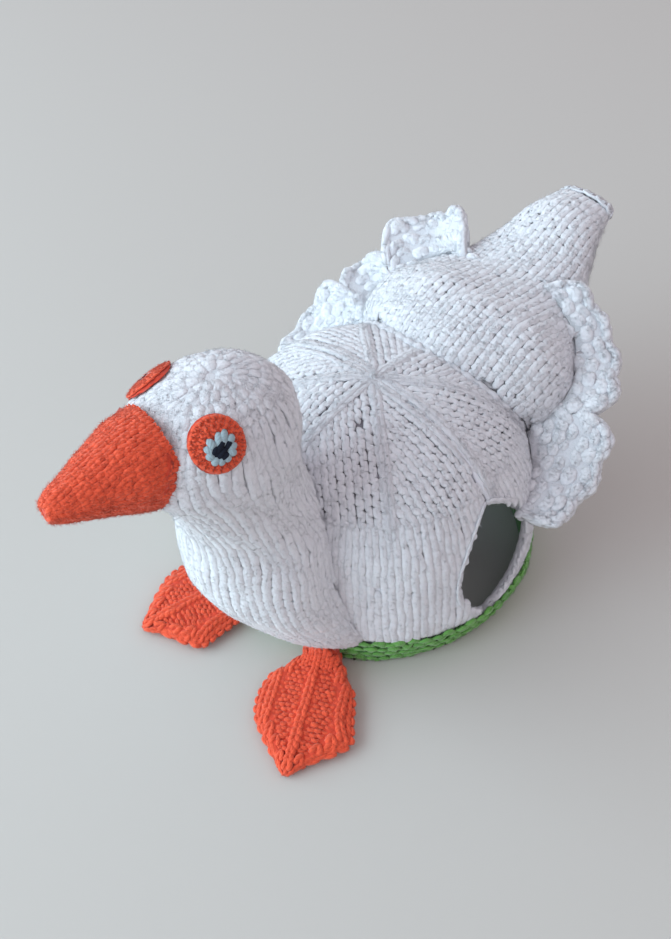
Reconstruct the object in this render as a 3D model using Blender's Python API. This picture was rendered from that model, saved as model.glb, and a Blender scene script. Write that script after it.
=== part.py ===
"""Goose tea cosy, knitted in pieces: a hollow body in two halves over a green border, a stuffed neck
and head, a stuffed beak, two eye discs, two webbed feet, a stuffed tail and a ruffle around it.

The goose looks along -Y and +Z is up. It rests on its hem at Z = 0. The teapot's handle comes out at
+X and its spout at -X. Lengths are in metres.
"""

import math

import bmesh
import bpy
import numpy as np

# Overall
HEIGHT = 0.126  # hem to crown of the body
CLOTH = 0.003  # thickness of the knitted body
GAP = 0.0003  # between pieces that touch
FRAME_SHIFT_Y = -0.00265  # brings the middle of the whole length over the origin

# Body: round rows that stack up into a dome, which leans forward as it rises.
HEM_CENTRE_Y = 0.011
BORDER_TOP = 0.0155
DOME_PROFILE = (  # height, radius
    (BORDER_TOP + GAP, 0.0805),
    (0.030, 0.0818),
    (0.048, 0.0815),
    (0.066, 0.0795),
    (0.083, 0.0748),
    (0.098, 0.0670),
    (0.110, 0.0560),
    (0.1185, 0.0415),
    (0.1233, 0.0255),
    (0.1255, 0.0110),
    (HEIGHT, 0.0),
)
DOME_ROWS = 18
HALF_COLUMNS = 44
PLUG_COLUMNS = 96
PLUG_DEPTH = 0.010  # how far the seating shape reaches below the hem
STEEPEST = 0.98  # sine that keeps an opening's edge on the row
RIDGE_STEP = math.radians(45)  # the crown's decreases run down the dome this far apart
RIDGE_RISE = 0.0011
RIDGE_HALF_WIDTH = 0.0050
RIDGE_FOOT, RIDGE_FULL = 0.050, 0.075  # heights where a ridge begins and is full

# Side openings: bottom, top, and how far the front and back edges draw away from the seam.
HANDLE_OPENING = (0.0175, 0.0925, 0.021, 0.033)
SPOUT_OPENING = (0.0200, 0.0925, 0.016, 0.026)

# Border: a green band with raised garter ridges.
BORDER_WALL = 0.0036
BORDER_RIDGES = 3
BORDER_RIDGE_RISE = 0.0009
BORDER_STEP = 0.0003  # how far the border stands out from the white cloth above it
BORDER_COLUMNS = 72

# Neck and head: level sections, from the breast's foot to the top of the head.
HEAD_SECTIONS = (  # height, centre y, half width, half depth
    (0.0165, -0.054, 0.0470, 0.0250),
    (0.0280, -0.058, 0.0475, 0.0310),
    (0.0450, -0.064, 0.0440, 0.0370),
    (0.0660, -0.072, 0.0400, 0.0375),
    (0.0860, -0.077, 0.0355, 0.0350),
    (0.1050, -0.081, 0.0310, 0.0310),
    (0.1220, -0.085, 0.0290, 0.0305),
    (0.1380, -0.089, 0.0295, 0.0325),
    (0.1550, -0.094, 0.0305, 0.0390),
    (0.1710, -0.094, 0.0275, 0.0360),
    (0.1815, -0.092, 0.0195, 0.0250),
    (0.1865, -0.091, 0.0085, 0.0115),
)
HEAD_TOP_RISE = 0.0012
HEAD_RINGS = 28
HEAD_SIDES = 34
HEAD_TURN = math.radians(-6)
HEAD_PIVOT_Y = -0.080
TURN_FOOT, TURN_FULL = 0.105, 0.140  # heights where the turn begins and is full

# Beak: sections along a straight line out of the head.
BEAK_ROOT = (0.0, -0.119, 0.1645)
BEAK_PITCH = math.radians(1.5)
BEAK_SECTIONS = (  # distance, half width, half height
    (0.000, 0.0205, 0.0205),
    (0.012, 0.0192, 0.0185),
    (0.024, 0.0146, 0.0138),
    (0.036, 0.0107, 0.0100),
    (0.043, 0.0080, 0.0074),
    (0.047, 0.0052, 0.0047),
)
BEAK_END = 0.0487
BEAK_RINGS = 12
BEAK_SIDES = 24

# Eyes: round domed discs, high on the head's sides.
EYE_RADIUS = 0.0112
EYE_RISE = 0.0030
EYE_CURVE = 0.034
EYE_EDGE = 0.0012
EYE_STEPS = (1.0, 0.94, 0.7, 0.4)  # shares of the radius where the disc has a ring
EYE_ROOT_DEPTH = 0.012
EYE_SIDES = 28
HEAD_MIDDLE = (0.0, -0.094, 0.155)
HEAD_OVAL = (0.0305, 0.0390, 0.0310)  # the head as an oval, where the eyes lie on it
EYE_AZIMUTH = math.radians(-26)
EYE_ELEVATION = math.radians(42)

# Feet: a short leg that bends forward into a webbed pad with three ribs.
FEET = (  # name, ankle x, ankle y, outward turn in degrees
    ("foot_left", 0.030, -0.066, 29),
    ("foot_right", -0.027, -0.054, -16),
)
FOOT_SECTIONS = (  # along, height, half width, half thickness
    (0.000, 0.0300, 0.0080, 0.0080),
    (0.000, 0.0200, 0.0084, 0.0080),
    (0.003, 0.0105, 0.0100, 0.0078),
    (0.010, 0.0056, 0.0150, 0.0062),
    (0.020, 0.0044, 0.0205, 0.0052),
    (0.031, 0.0040, 0.0234, 0.0048),
    (0.042, 0.0038, 0.0222, 0.0046),
    (0.052, 0.0035, 0.0155, 0.0043),
    (0.060, 0.0031, 0.0080, 0.0036),
    (0.065, 0.0027, 0.0035, 0.0028),
)
FOOT_TIP = 0.0670
FOOT_TOE_HEIGHT = 0.6  # of the last section's height, where the toe's point lies
FOOT_RINGS = 22
FOOT_SIDES = 28
RIB_PLACES = (-0.72, 0.0, 0.72)  # across the pad, as shares of its half width
RIB_RISE = 0.0018
RIB_SPREAD = 0.17

# Tail: sections along a line that rises to the back.
TAIL_SECTIONS = (  # y, height, half width, half thickness
    (0.038, 0.084, 0.0300, 0.0340),
    (0.050, 0.087, 0.0500, 0.0400),
    (0.064, 0.091, 0.0600, 0.0420),
    (0.080, 0.097, 0.0610, 0.0410),
    (0.096, 0.103, 0.0525, 0.0325),
    (0.112, 0.110, 0.0415, 0.0230),
    (0.130, 0.119, 0.0305, 0.0185),
    (0.148, 0.130, 0.0220, 0.0165),
    (0.162, 0.135, 0.0170, 0.0110),
    (0.170, 0.137, 0.0150, 0.0060),
)
TAIL_END = (0.1725, 0.1376)
TAIL_RINGS = 22
TAIL_SIDES = 34

# Ruffle: a scalloped fan along each side of the tail. Both lie in one plane that rises to the back.
RUFFLES = (  # name, side, and each flap's first and last angle back from straight out, and its reach
    ("ruffle_left", 1.0, ((-17, 24, 0.0940), (24, 74, 0.0940))),
    ("ruffle_right", -1.0, ((-17, 19, 0.0940), (19, 37, 0.0930), (37, 74, 0.1060))),
)
RUFFLE_CENTRE = (0.046, 0.079)  # y, height
RUFFLE_RISE = math.radians(35)
RUFFLE_ROOT = 0.045
RUFFLE_BUMP_SPACING = 14  # degrees
RUFFLE_NOTCH_REACH = 0.0830
RUFFLE_BUMP = 0.0030
RUFFLE_WAVE = 0.0045
RUFFLE_THICKNESS = 0.0070
RUFFLE_STATION = 3.0  # degrees

WOOL_ROUGHNESS = 0.95
WHITE = (0.86, 0.88, 0.91)
BRIGHT_WHITE = (0.90, 0.91, 0.93)
ORANGE = (0.78, 0.13, 0.055)
GREEN = (0.10, 0.36, 0.09)


def clear_scene():
    for thing in list(bpy.data.objects):
        bpy.data.objects.remove(thing, do_unlink=True)


def ramp(value, low, high):
    """0 at low and 1 at high, with soft ends."""
    share = np.clip((value - low) / (high - low), 0.0, 1.0)
    return share * share * (3.0 - 2.0 * share)


def smooth_table(table, count):
    """count rows on a Catmull-Rom curve through the table's rows."""
    rows = np.array(table, float)
    padded = np.vstack([2 * rows[0] - rows[1], rows, 2 * rows[-1] - rows[-2]])
    place = np.linspace(0.0, len(rows) - 1.0, count)
    index = np.minimum(place.astype(int), len(rows) - 2)
    t = (place - index)[:, None]
    before, start, end, after = (padded[index + step] for step in range(4))
    curve = 2 * start + (end - before) * t
    curve += (2 * before - 5 * start + 4 * end - after) * t**2
    curve += (3 * start - before - 3 * end + after) * t**3
    return 0.5 * curve


def material(name, colour):
    made = bpy.data.materials.new(name)
    made.use_nodes = True
    shader = made.node_tree.nodes["Principled BSDF"]
    shader.inputs["Base Color"].default_value = (*colour, 1.0)
    shader.inputs["Roughness"].default_value = WOOL_ROUGHNESS
    shader.inputs["Metallic"].default_value = 0.0
    return made


def add_solid(name, points, faces, finish=None):
    """An object from one closed skin, with its faces turned outward."""
    mesh = bpy.data.meshes.new(name)
    mesh.from_pydata([tuple(point) for point in points], [], faces)
    shaped = bmesh.new()
    shaped.from_mesh(mesh)
    bmesh.ops.recalc_face_normals(shaped, faces=shaped.faces)
    shaped.to_mesh(mesh)
    shaped.free()
    solid = bpy.data.objects.new(name, mesh)
    bpy.context.scene.collection.objects.link(solid)
    if finish:
        mesh.materials.append(finish)
        mesh.shade_smooth()
        mesh.set_sharp_from_angle(angle=math.radians(50))
    return solid


def as_cutter(solid):
    solid.hide_render = True
    solid.display_type = "WIRE"
    return solid


def cut(solid, cutter):
    """Takes the cutter's shape out of the solid and leaves the solid's own material."""
    boolean = solid.modifiers.new(f"seat on {cutter.name}", "BOOLEAN")
    boolean.operation = "DIFFERENCE"
    boolean.object = cutter
    boolean.solver = "EXACT"


def closed_tube(rings, first_pole, last_pole):
    """Points and faces of a skin over equal rings, closed by a pole at each end."""
    count, sides = rings.shape[:2]
    points = np.vstack([rings.reshape(-1, 3), first_pole, last_pole])
    first, last = count * sides, count * sides + 1
    faces = []
    for ring in range(count - 1):
        for side in range(sides):
            after = (side + 1) % sides
            low, high = ring * sides, (ring + 1) * sides
            faces.append((low + side, low + after, high + after, high + side))
    for side in range(sides):
        after = (side + 1) % sides
        top = (count - 1) * sides
        faces.append((first, after, side))
        faces.append((last, top + side, top + after))
    return points, faces


def centre_y(height):
    return HEM_CENTRE_Y * (1.0 - height / HEIGHT)


def offset_profile(distance):
    """The dome's smooth profile (height, radius), moved outward by a distance."""
    profile = smooth_table(DOME_PROFILE, DOME_ROWS)
    slope = np.gradient(profile, axis=0)
    outward = np.stack([-slope[:, 1], slope[:, 0]], axis=1)
    outward /= np.linalg.norm(outward, axis=1, keepdims=True)
    outward[-1] = (1.0, 0.0)
    moved = profile + distance * outward
    moved[0, 0] = profile[0, 0]
    moved[-1, 1] = 0.0
    return moved


def ridge_rise(height, radius, angle):
    """How far the crown's decrease ridges stand out of the dome."""
    away = np.abs((angle + RIDGE_STEP / 2) % RIDGE_STEP - RIDGE_STEP / 2) * radius
    across = np.clip(1.0 - away / RIDGE_HALF_WIDTH, 0.0, 1.0)
    return RIDGE_RISE * across * ramp(height, RIDGE_FOOT, RIDGE_FULL)


def dome_row(height, radius, angles, with_ridges):
    reach = radius + (ridge_rise(height, radius, angles) if with_ridges else 0.0)
    across = reach * np.cos(angles)
    along = centre_y(height) + reach * np.sin(angles)
    return np.stack([across, along, np.full_like(angles, height)], axis=1)


def edge_draw(height, opening, column):
    """How far an opening's edge stands from the side seam at a height."""
    bottom, top = opening[:2]
    share = np.clip((height - bottom) / (top - bottom), 0.0, 1.0)
    return GAP / 2 + opening[column] * math.sin(math.pi * share) ** 0.75


def half_row(height, radius, front, with_ridges):
    """One row of a body half, from side to side around the front or the back."""
    facing, column = (-1.0, 2) if front else (1.0, 3)
    middle = centre_y(height)
    edges = []
    for opening in (HANDLE_OPENING, SPOUT_OPENING):
        edge_y = facing * edge_draw(height, opening, column)
        edges.append(math.asin(max(-STEEPEST, min(STEEPEST, (edge_y - middle) / radius))))
    handle, spout = edges
    far = -math.pi - spout if front else math.pi - spout
    angles = np.linspace(handle, far, HALF_COLUMNS + 1)
    return dome_row(height, radius, angles, with_ridges)


def body_half(name, front, finish):
    """A closed half of the knitted dome, with one thickness of cloth."""
    facing = -1.0 if front else 1.0
    skins = []
    for distance, with_ridges in ((0.0, True), (-CLOTH, False)):
        profile = offset_profile(distance)
        rows = [half_row(height, radius, front, with_ridges) for height, radius in profile[:-1]]
        skins.append((np.array(rows), (0.0, facing * GAP / 2, profile[-1, 0])))
    (outer, outer_pole), (inner, inner_pole) = skins
    count, columns = outer.shape[:2]
    size = count * columns
    points = np.vstack([outer.reshape(-1, 3), inner.reshape(-1, 3), outer_pole, inner_pole])
    number = np.arange(size).reshape(count, columns)
    faces = []
    for row in range(count - 1):
        for column in range(columns - 1):
            corner = (
                number[row, column],
                number[row, column + 1],
                number[row + 1, column + 1],
                number[row + 1, column],
            )
            faces.append(corner)
            faces.append(tuple(size + place for place in reversed(corner)))
    rim = [*number[:, 0][::-1], *number[0, 1:-1], *number[:, -1]]
    rim = [2 * size, *rim, 2 * size]
    for here, there in zip(rim, rim[1:]):
        faces.append((here, there, inside(there, size), inside(here, size)))
    for column in range(columns - 1):
        left, right = number[-1, column], number[-1, column + 1]
        faces.append((left, right, 2 * size))
        faces.append((size + right, size + left, 2 * size + 1))
    return add_solid(name, points, [tuple(map(int, face)) for face in faces], finish)


def inside(place, size):
    """The inner skin's point behind an outer one, where the poles come last."""
    return place + 1 if place == 2 * size else place + size


def body_plug():
    """The body and border as one filled shape, a gap larger, to seat the sewn-on pieces."""
    angles = np.linspace(0.0, 2 * math.pi, PLUG_COLUMNS, endpoint=False)
    profile = offset_profile(GAP)
    widest = border_reach(1.0) + GAP
    rings = [dome_row(-PLUG_DEPTH, widest, angles, False), dome_row(BORDER_TOP, widest, angles, False)]
    for height, radius in profile[1:-1]:
        rings.append(dome_row(height, radius, angles, True))
    rings = np.array(rings)
    points, faces = closed_tube(rings, rings[0].mean(axis=0), (0.0, 0.0, profile[-1, 0]))
    return as_cutter(add_solid("body plug", points, faces))


def border_reach(ridge):
    return DOME_PROFILE[0][1] + BORDER_STEP + BORDER_RIDGE_RISE * ridge


def border(finish):
    """The green band: an upright ring with garter ridges outside and a flat foot."""
    share = np.linspace(0.0, 1.0, 2 * BORDER_RIDGES + 1)
    outside = border_reach(0.5 - 0.5 * np.cos(2 * math.pi * BORDER_RIDGES * share))
    loop = list(zip(BORDER_TOP * share, outside))
    inner = DOME_PROFILE[0][1] - BORDER_WALL
    loop += [(BORDER_TOP, inner), (0.0, inner)]
    angles = np.linspace(0.0, 2 * math.pi, BORDER_COLUMNS, endpoint=False)
    rows = np.array([dome_row(height, reach, angles, False) for height, reach in loop])
    count = len(rows)
    faces = []
    for row in range(count):
        above = (row + 1) % count
        for column in range(BORDER_COLUMNS):
            after = (column + 1) % BORDER_COLUMNS
            low, high = row * BORDER_COLUMNS, above * BORDER_COLUMNS
            faces.append((low + column, low + after, high + after, high + column))
    return add_solid("hem_border", rows.reshape(-1, 3), faces, finish)


def turned(points):
    """Points moved as the head looks aside, more the higher they are."""
    points = np.array(points, float).reshape(-1, 3)
    angle = HEAD_TURN * ramp(points[:, 2], TURN_FOOT, TURN_FULL)
    x, y = points[:, 0], points[:, 1] - HEAD_PIVOT_Y
    across = x * np.cos(angle) - y * np.sin(angle)
    along = x * np.sin(angle) + y * np.cos(angle) + HEAD_PIVOT_Y
    return np.stack([across, along, points[:, 2]], axis=1)


def head_skin(grown):
    sections = smooth_table(HEAD_SECTIONS, HEAD_RINGS)
    angles = np.linspace(0.0, 2 * math.pi, HEAD_SIDES, endpoint=False)
    rings = []
    for height, middle, half_width, half_depth in sections:
        x = (half_width + grown) * np.cos(angles)
        y = middle + (half_depth + grown) * np.sin(angles)
        rings.append(turned(np.stack([x, y, np.full_like(angles, height)], axis=1)))
    rings = np.array(rings)
    rings[0, :, 2] -= grown
    top = sections[-1]
    low_pole = (0.0, sections[0][1], sections[0][0] - grown)
    high_pole = turned((0.0, top[1], top[0] + HEAD_TOP_RISE + grown))[0]
    return closed_tube(rings, low_pole, high_pole)


def straight_sections(sections, root, direction, up, sides):
    """Oval rings along a straight line."""
    direction, up = np.array(direction, float), np.array(up, float)
    side = np.cross(direction, up)
    angles = np.linspace(0.0, 2 * math.pi, sides, endpoint=False)
    rings = []
    for distance, half_width, half_height in sections:
        middle = np.array(root) + direction * distance
        across = np.outer(half_width * np.cos(angles), side)
        rings.append(middle + across + np.outer(half_height * np.sin(angles), up))
    return np.array(rings)


def beak(finish, head_plug):
    direction = (0.0, -math.cos(BEAK_PITCH), math.sin(BEAK_PITCH))
    up = (0.0, math.sin(BEAK_PITCH), math.cos(BEAK_PITCH))
    sections = smooth_table(BEAK_SECTIONS, BEAK_RINGS)
    rings = straight_sections(sections, BEAK_ROOT, direction, up, BEAK_SIDES)
    rings = np.array([turned(ring) for ring in rings])
    tip = np.array(BEAK_ROOT) + np.array(direction) * BEAK_END
    points, faces = closed_tube(rings, rings[0].mean(axis=0), turned(tip)[0])
    solid = add_solid("beak", points, faces, finish)
    cut(solid, head_plug)
    return solid


def eye(name, side, finish, head_plug):
    """A domed disc whose back is hollowed to the head."""
    level = math.cos(EYE_ELEVATION)
    toward = np.array([level * math.cos(EYE_AZIMUTH), level * math.sin(EYE_AZIMUTH), 0.0])
    toward += (0.0, 0.0, math.sin(EYE_ELEVATION))
    toward[0] *= side
    oval = np.array(HEAD_OVAL)
    root = np.array(HEAD_MIDDLE) + toward / np.linalg.norm(toward / oval)
    direction = toward / oval**2
    direction /= np.linalg.norm(direction)
    up = np.array([0.0, 0.0, 1.0]) - direction * direction[2]
    up /= np.linalg.norm(up)
    sections = [(-EYE_ROOT_DEPTH, EYE_RADIUS, EYE_RADIUS)]
    for share in EYE_STEPS:
        spread = EYE_RADIUS * share
        drop = EYE_CURVE - math.sqrt(EYE_CURVE**2 - spread**2)
        edge = EYE_EDGE if share == 1.0 else 0.0
        sections.append((EYE_RISE - drop - edge, spread, spread))
    rings = straight_sections(sections, root, direction, up, EYE_SIDES)
    rings = np.array([turned(ring) for ring in rings])
    crown = turned(root + direction * EYE_RISE)[0]
    points, faces = closed_tube(rings, rings[0].mean(axis=0), crown)
    solid = add_solid(name, points, faces, finish)
    cut(solid, head_plug)
    return solid


def foot(name, ankle, turn, finish, cutters):
    sections = smooth_table(FOOT_SECTIONS, FOOT_RINGS)
    tangent = np.gradient(sections[:, :2], axis=0)
    tangent /= np.linalg.norm(tangent, axis=1, keepdims=True)
    angles = np.linspace(0.0, 2 * math.pi, FOOT_SIDES, endpoint=False)
    rings = []
    for (along, height, half_width, half_thick), (forward, rise) in zip(sections, tangent):
        level = ramp(forward, 0.5, 1.0) * ramp(along, 0.008, 0.018)
        share = np.cos(angles)[:, None] - np.array(RIB_PLACES)
        rib = RIB_RISE * level * np.exp(-((share / RIB_SPREAD) ** 2)).sum(axis=1)
        outward = half_thick * np.sin(angles) + np.where(np.sin(angles) > 0.05, rib, 0.0)
        ahead = along - outward * rise
        up = np.maximum(height + outward * forward, 0.0)
        rings.append(placed_foot(half_width * np.cos(angles), ahead, up, ankle, turn))
    heel = rings[0].mean(axis=0)
    tip = placed_foot(np.zeros(1), FOOT_TIP, FOOT_TOE_HEIGHT * sections[-1, 1], ankle, turn)[0]
    points, faces = closed_tube(np.array(rings), heel, tip)
    solid = add_solid(name, points, faces, finish)
    for cutter in cutters:
        cut(solid, cutter)
    return solid


def placed_foot(across, ahead, up, ankle, turn):
    """Foot points turned outward and set at the ankle."""
    x = ankle[0] + ahead * math.sin(turn) + across * math.cos(turn)
    y = ankle[1] - ahead * math.cos(turn) + across * math.sin(turn)
    return np.stack([x, y, np.broadcast_to(up, x.shape)], axis=1)


def tail_skin(grown):
    sections = smooth_table(TAIL_SECTIONS, TAIL_RINGS)
    tangent = np.gradient(sections[:, :2], axis=0)
    tangent /= np.linalg.norm(tangent, axis=1, keepdims=True)
    angles = np.linspace(0.0, 2 * math.pi, TAIL_SIDES, endpoint=False)
    rings = []
    for (y, height, half_width, half_thick), (back, rise) in zip(sections, tangent):
        across = (half_width + grown) * np.cos(angles)
        outward = (half_thick + grown) * np.sin(angles)
        rings.append(np.stack([across, y - outward * rise, height + outward * back], axis=1))
    rings = np.array(rings)
    end = (0.0, TAIL_END[0] + grown, TAIL_END[1])
    return closed_tube(rings, rings[0].mean(axis=0), end)


def ruffle(name, side, flaps, finish, cutters):
    """Stations sweep back along the tail, and each is a flat loop with a round outer edge."""
    rings = []
    for start, end, flap_reach in flaps:
        stations = round((end - start) / RUFFLE_STATION)
        bumps = max(1, round((end - start) / RUFFLE_BUMP_SPACING))
        last = end == flaps[-1][1]
        for share in np.linspace(0.0, 1.0, stations, endpoint=last):
            bump = abs(math.sin(math.pi * bumps * share))
            full = 1.0 - (1.0 - math.sin(math.pi * share)) ** 4
            reach = RUFFLE_NOTCH_REACH + (flap_reach - RUFFLE_NOTCH_REACH) * full
            reach -= RUFFLE_BUMP * (1.0 - bump)
            wave = RUFFLE_WAVE * math.cos(2 * math.pi * share)
            angle = math.radians(start + (end - start) * share)
            rings.append(ruffle_loop(angle, reach, wave, side))
    rings = np.array(rings)
    points, faces = closed_tube(rings, rings[0].mean(axis=0), rings[-1].mean(axis=0))
    solid = add_solid(name, points, faces, finish)
    for cutter in cutters:
        cut(solid, cutter)
    return solid


def ruffle_loop(angle, reach, wave, side):
    """One section of the ruffle: out along its upper face to the edge and back along the lower."""
    half = RUFFLE_THICKNESS / 2
    span = reach - 1.6 * half - RUFFLE_ROOT
    radii = [RUFFLE_ROOT + span * share for share in (0.0, 0.4, 0.75, 1.0)]
    radii += [reach - 0.5 * half, reach]
    lifts = [half, half, half, half, 0.75 * half, 0.0]
    upper = list(zip(radii, lifts))
    lower = [(radius, -lift) for radius, lift in upper[-2::-1]]
    points = []
    for radius, lift in upper + lower:
        lift += wave * (radius - RUFFLE_ROOT) / (reach - RUFFLE_ROOT)
        out = radius * math.sin(angle)
        y = RUFFLE_CENTRE[0] + out * math.cos(RUFFLE_RISE) - lift * math.sin(RUFFLE_RISE)
        z = RUFFLE_CENTRE[1] + out * math.sin(RUFFLE_RISE) + lift * math.cos(RUFFLE_RISE)
        points.append((side * radius * math.cos(angle), y, z))
    return points


def build():
    clear_scene()
    white_body = material("white_body_wool", WHITE)
    white_fill = material("white_stuffed_wool", WHITE)
    white_ruffle = material("white_ruffle_wool", BRIGHT_WHITE)
    orange = material("orange_wool", ORANGE)
    eye_orange = material("eye_orange_wool", ORANGE)
    green = material("green_wool", GREEN)
    plug = body_plug()
    head_plug = as_cutter(add_solid("head plug", *head_skin(GAP)))
    tail_plug = as_cutter(add_solid("tail plug", *tail_skin(GAP)))
    body_half("body_front", True, white_body)
    body_half("body_back", False, white_body)
    border(green)
    head = add_solid("neck_head", *head_skin(0.0), white_fill)
    cut(head, plug)
    beak(orange, head_plug)
    for name, side in (("eye_left", 1.0), ("eye_right", -1.0)):
        eye(name, side, eye_orange, head_plug)
    for name, ankle_x, ankle_y, turn in FEET:
        foot(name, (ankle_x, ankle_y), math.radians(turn), orange, (plug, head_plug))
    tail = add_solid("tail", *tail_skin(0.0), white_fill)
    cut(tail, plug)
    for name, side, flaps in RUFFLES:
        ruffle(name, side, flaps, white_ruffle, (tail_plug, plug))
    goose = bpy.data.objects.new("goose", None)
    bpy.context.scene.collection.objects.link(goose)
    goose.location = (0.0, FRAME_SHIFT_Y, 0.0)
    for thing in bpy.data.objects:
        if thing is not goose:
            thing.parent = goose


build()
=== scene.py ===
"""Dresses a goose tea cosy in its knitted stitches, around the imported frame.

Run it as a script. Each operator makes one piece of the cosy, or a group of like pieces.
"""

import functools
import math

import bmesh
import bpy
import numpy as np
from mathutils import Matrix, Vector
from mathutils.bvhtree import BVHTree


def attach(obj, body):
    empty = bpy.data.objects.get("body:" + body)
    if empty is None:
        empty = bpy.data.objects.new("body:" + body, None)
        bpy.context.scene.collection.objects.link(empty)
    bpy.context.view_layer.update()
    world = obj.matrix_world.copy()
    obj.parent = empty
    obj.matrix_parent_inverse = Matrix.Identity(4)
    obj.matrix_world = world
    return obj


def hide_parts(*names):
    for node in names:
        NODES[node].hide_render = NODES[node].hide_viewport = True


bl_info = {
    "name": "Goose Tea Cosy",
    "version": (1, 0, 0),
    "blender": (4, 5, 0),
    "location": "3D View > Sidebar > Goose Cosy",
    "description": "Knits a goose tea cosy over its solid frame",
    "category": "Add Mesh",
}

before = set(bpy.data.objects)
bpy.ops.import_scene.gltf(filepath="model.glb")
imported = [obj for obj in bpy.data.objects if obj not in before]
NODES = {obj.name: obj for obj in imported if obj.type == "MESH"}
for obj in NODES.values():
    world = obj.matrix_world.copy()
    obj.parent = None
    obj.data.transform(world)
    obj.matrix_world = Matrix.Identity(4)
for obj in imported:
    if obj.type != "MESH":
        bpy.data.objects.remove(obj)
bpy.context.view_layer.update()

# Shapes that the stitches follow, in metres, the same as the solids'.
SHIFT_Y = -0.00265
HEIGHT = 0.126
HEM_CENTRE_Y = 0.011
BORDER_TOP = 0.0155
BORDER_RADIUS = 0.0808
BORDER_RIDGES = 3
DOME_PROFILE = (  # height, radius
    (0.0158, 0.0805),
    (0.030, 0.0818),
    (0.048, 0.0815),
    (0.066, 0.0795),
    (0.083, 0.0748),
    (0.098, 0.0670),
    (0.110, 0.0560),
    (0.1185, 0.0415),
    (0.1233, 0.0255),
    (0.1255, 0.0110),
    (0.126, 0.0),
)
HANDLE_OPENING = (0.0175, 0.0925, 0.021, 0.033)  # bottom, top, front draw, back draw
SPOUT_OPENING = (0.0200, 0.0925, 0.016, 0.026)
HEAD_SECTIONS = (  # height, centre y, half width, half depth
    (0.0165, -0.054, 0.0470, 0.0250),
    (0.0280, -0.058, 0.0475, 0.0310),
    (0.0450, -0.064, 0.0440, 0.0370),
    (0.0660, -0.072, 0.0400, 0.0375),
    (0.0860, -0.077, 0.0355, 0.0350),
    (0.1050, -0.081, 0.0310, 0.0310),
    (0.1220, -0.085, 0.0290, 0.0305),
    (0.1380, -0.089, 0.0295, 0.0325),
    (0.1550, -0.094, 0.0305, 0.0390),
    (0.1710, -0.094, 0.0275, 0.0360),
    (0.1815, -0.092, 0.0195, 0.0250),
    (0.1865, -0.091, 0.0085, 0.0115),
    (0.1877, -0.091, 0.0001, 0.0001),
)
HEAD_TURN = math.radians(-6)
HEAD_PIVOT_Y = -0.080
TURN_FOOT, TURN_FULL = 0.105, 0.140
HEAD_MIDDLE = (0.0, -0.094, 0.155)
HEAD_OVAL = (0.0305, 0.0390, 0.0310)
BEAK_ROOT = (0.0, -0.119, 0.1645)
BEAK_PITCH = math.radians(1.5)
BEAK_SECTIONS = (  # distance, half width, half height
    (0.000, 0.0205, 0.0205),
    (0.012, 0.0192, 0.0185),
    (0.024, 0.0147, 0.0140),
    (0.036, 0.0098, 0.0091),
    (0.043, 0.0066, 0.0061),
    (0.0462, 0.0040, 0.0037),
    (0.0475, 0.0001, 0.0001),
)
EYE_RISE = 0.0030
EYE_CURVE = 0.034
EYE_AZIMUTH = math.radians(-26)
EYE_ELEVATION = math.radians(42)
FEET = (  # name, ankle x, ankle y, outward turn in degrees
    ("foot_left", 0.030, -0.066, 29),
    ("foot_right", -0.027, -0.054, -16),
)
FOOT_SECTIONS = (  # along, height, half width, half thickness
    (0.000, 0.0300, 0.0080, 0.0080),
    (0.000, 0.0200, 0.0084, 0.0080),
    (0.003, 0.0105, 0.0100, 0.0078),
    (0.010, 0.0056, 0.0150, 0.0062),
    (0.020, 0.0044, 0.0205, 0.0052),
    (0.031, 0.0040, 0.0234, 0.0048),
    (0.042, 0.0038, 0.0222, 0.0046),
    (0.052, 0.0035, 0.0155, 0.0043),
    (0.060, 0.0031, 0.0080, 0.0036),
    (0.065, 0.0027, 0.0035, 0.0028),
    (0.067, 0.0016, 0.0002, 0.0002),
)
TAIL_SECTIONS = (  # y, height, half width, half thickness
    (0.038, 0.084, 0.0300, 0.0340),
    (0.050, 0.087, 0.0500, 0.0400),
    (0.064, 0.091, 0.0600, 0.0420),
    (0.080, 0.097, 0.0610, 0.0410),
    (0.096, 0.103, 0.0525, 0.0325),
    (0.112, 0.110, 0.0415, 0.0230),
    (0.130, 0.119, 0.0305, 0.0185),
    (0.148, 0.130, 0.0220, 0.0165),
    (0.162, 0.135, 0.0170, 0.0110),
    (0.170, 0.137, 0.0150, 0.0060),
)
RUFFLES = (  # name, side, and each flap's first and last angle back from straight out, and its reach
    ("ruffle_left", 1.0, ((-17, 24, 0.0940), (24, 74, 0.0940))),
    ("ruffle_right", -1.0, ((-17, 19, 0.0940), (19, 37, 0.0930), (37, 74, 0.1060))),
)
RUFFLE_CENTRE = (0.046, 0.079)
RUFFLE_RISE = math.radians(35)
RUFFLE_ROOT = 0.045
RUFFLE_BUMP_SPACING = 14
RUFFLE_NOTCH_REACH = 0.0830
RUFFLE_BUMP = 0.0030
RUFFLE_WAVE = 0.0045
RUFFLE_THICKNESS = 0.0070
BORDER_TUCK = 0.0050  # how far the border's foot goes in under the handle opening
BEAK_BLUNT = 0.0020  # how far the beak's filling ends behind its tip
FOOT_CHANGES = (  # side, share of the distance across, middle and reach along the foot
    (1.0, 0.36, 0.051, 0.010),
    (-1.0, 0.28, 0.008, 0.006),
)
SEAM_WIDTH, SEAM_SIDE = 0.026, 0.045  # the cloth is pale by the side seams, without the painted dark shade between stitches: within this of y 0, past this of x 0
PALE_UNDER = 0.096  # and below this height

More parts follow.
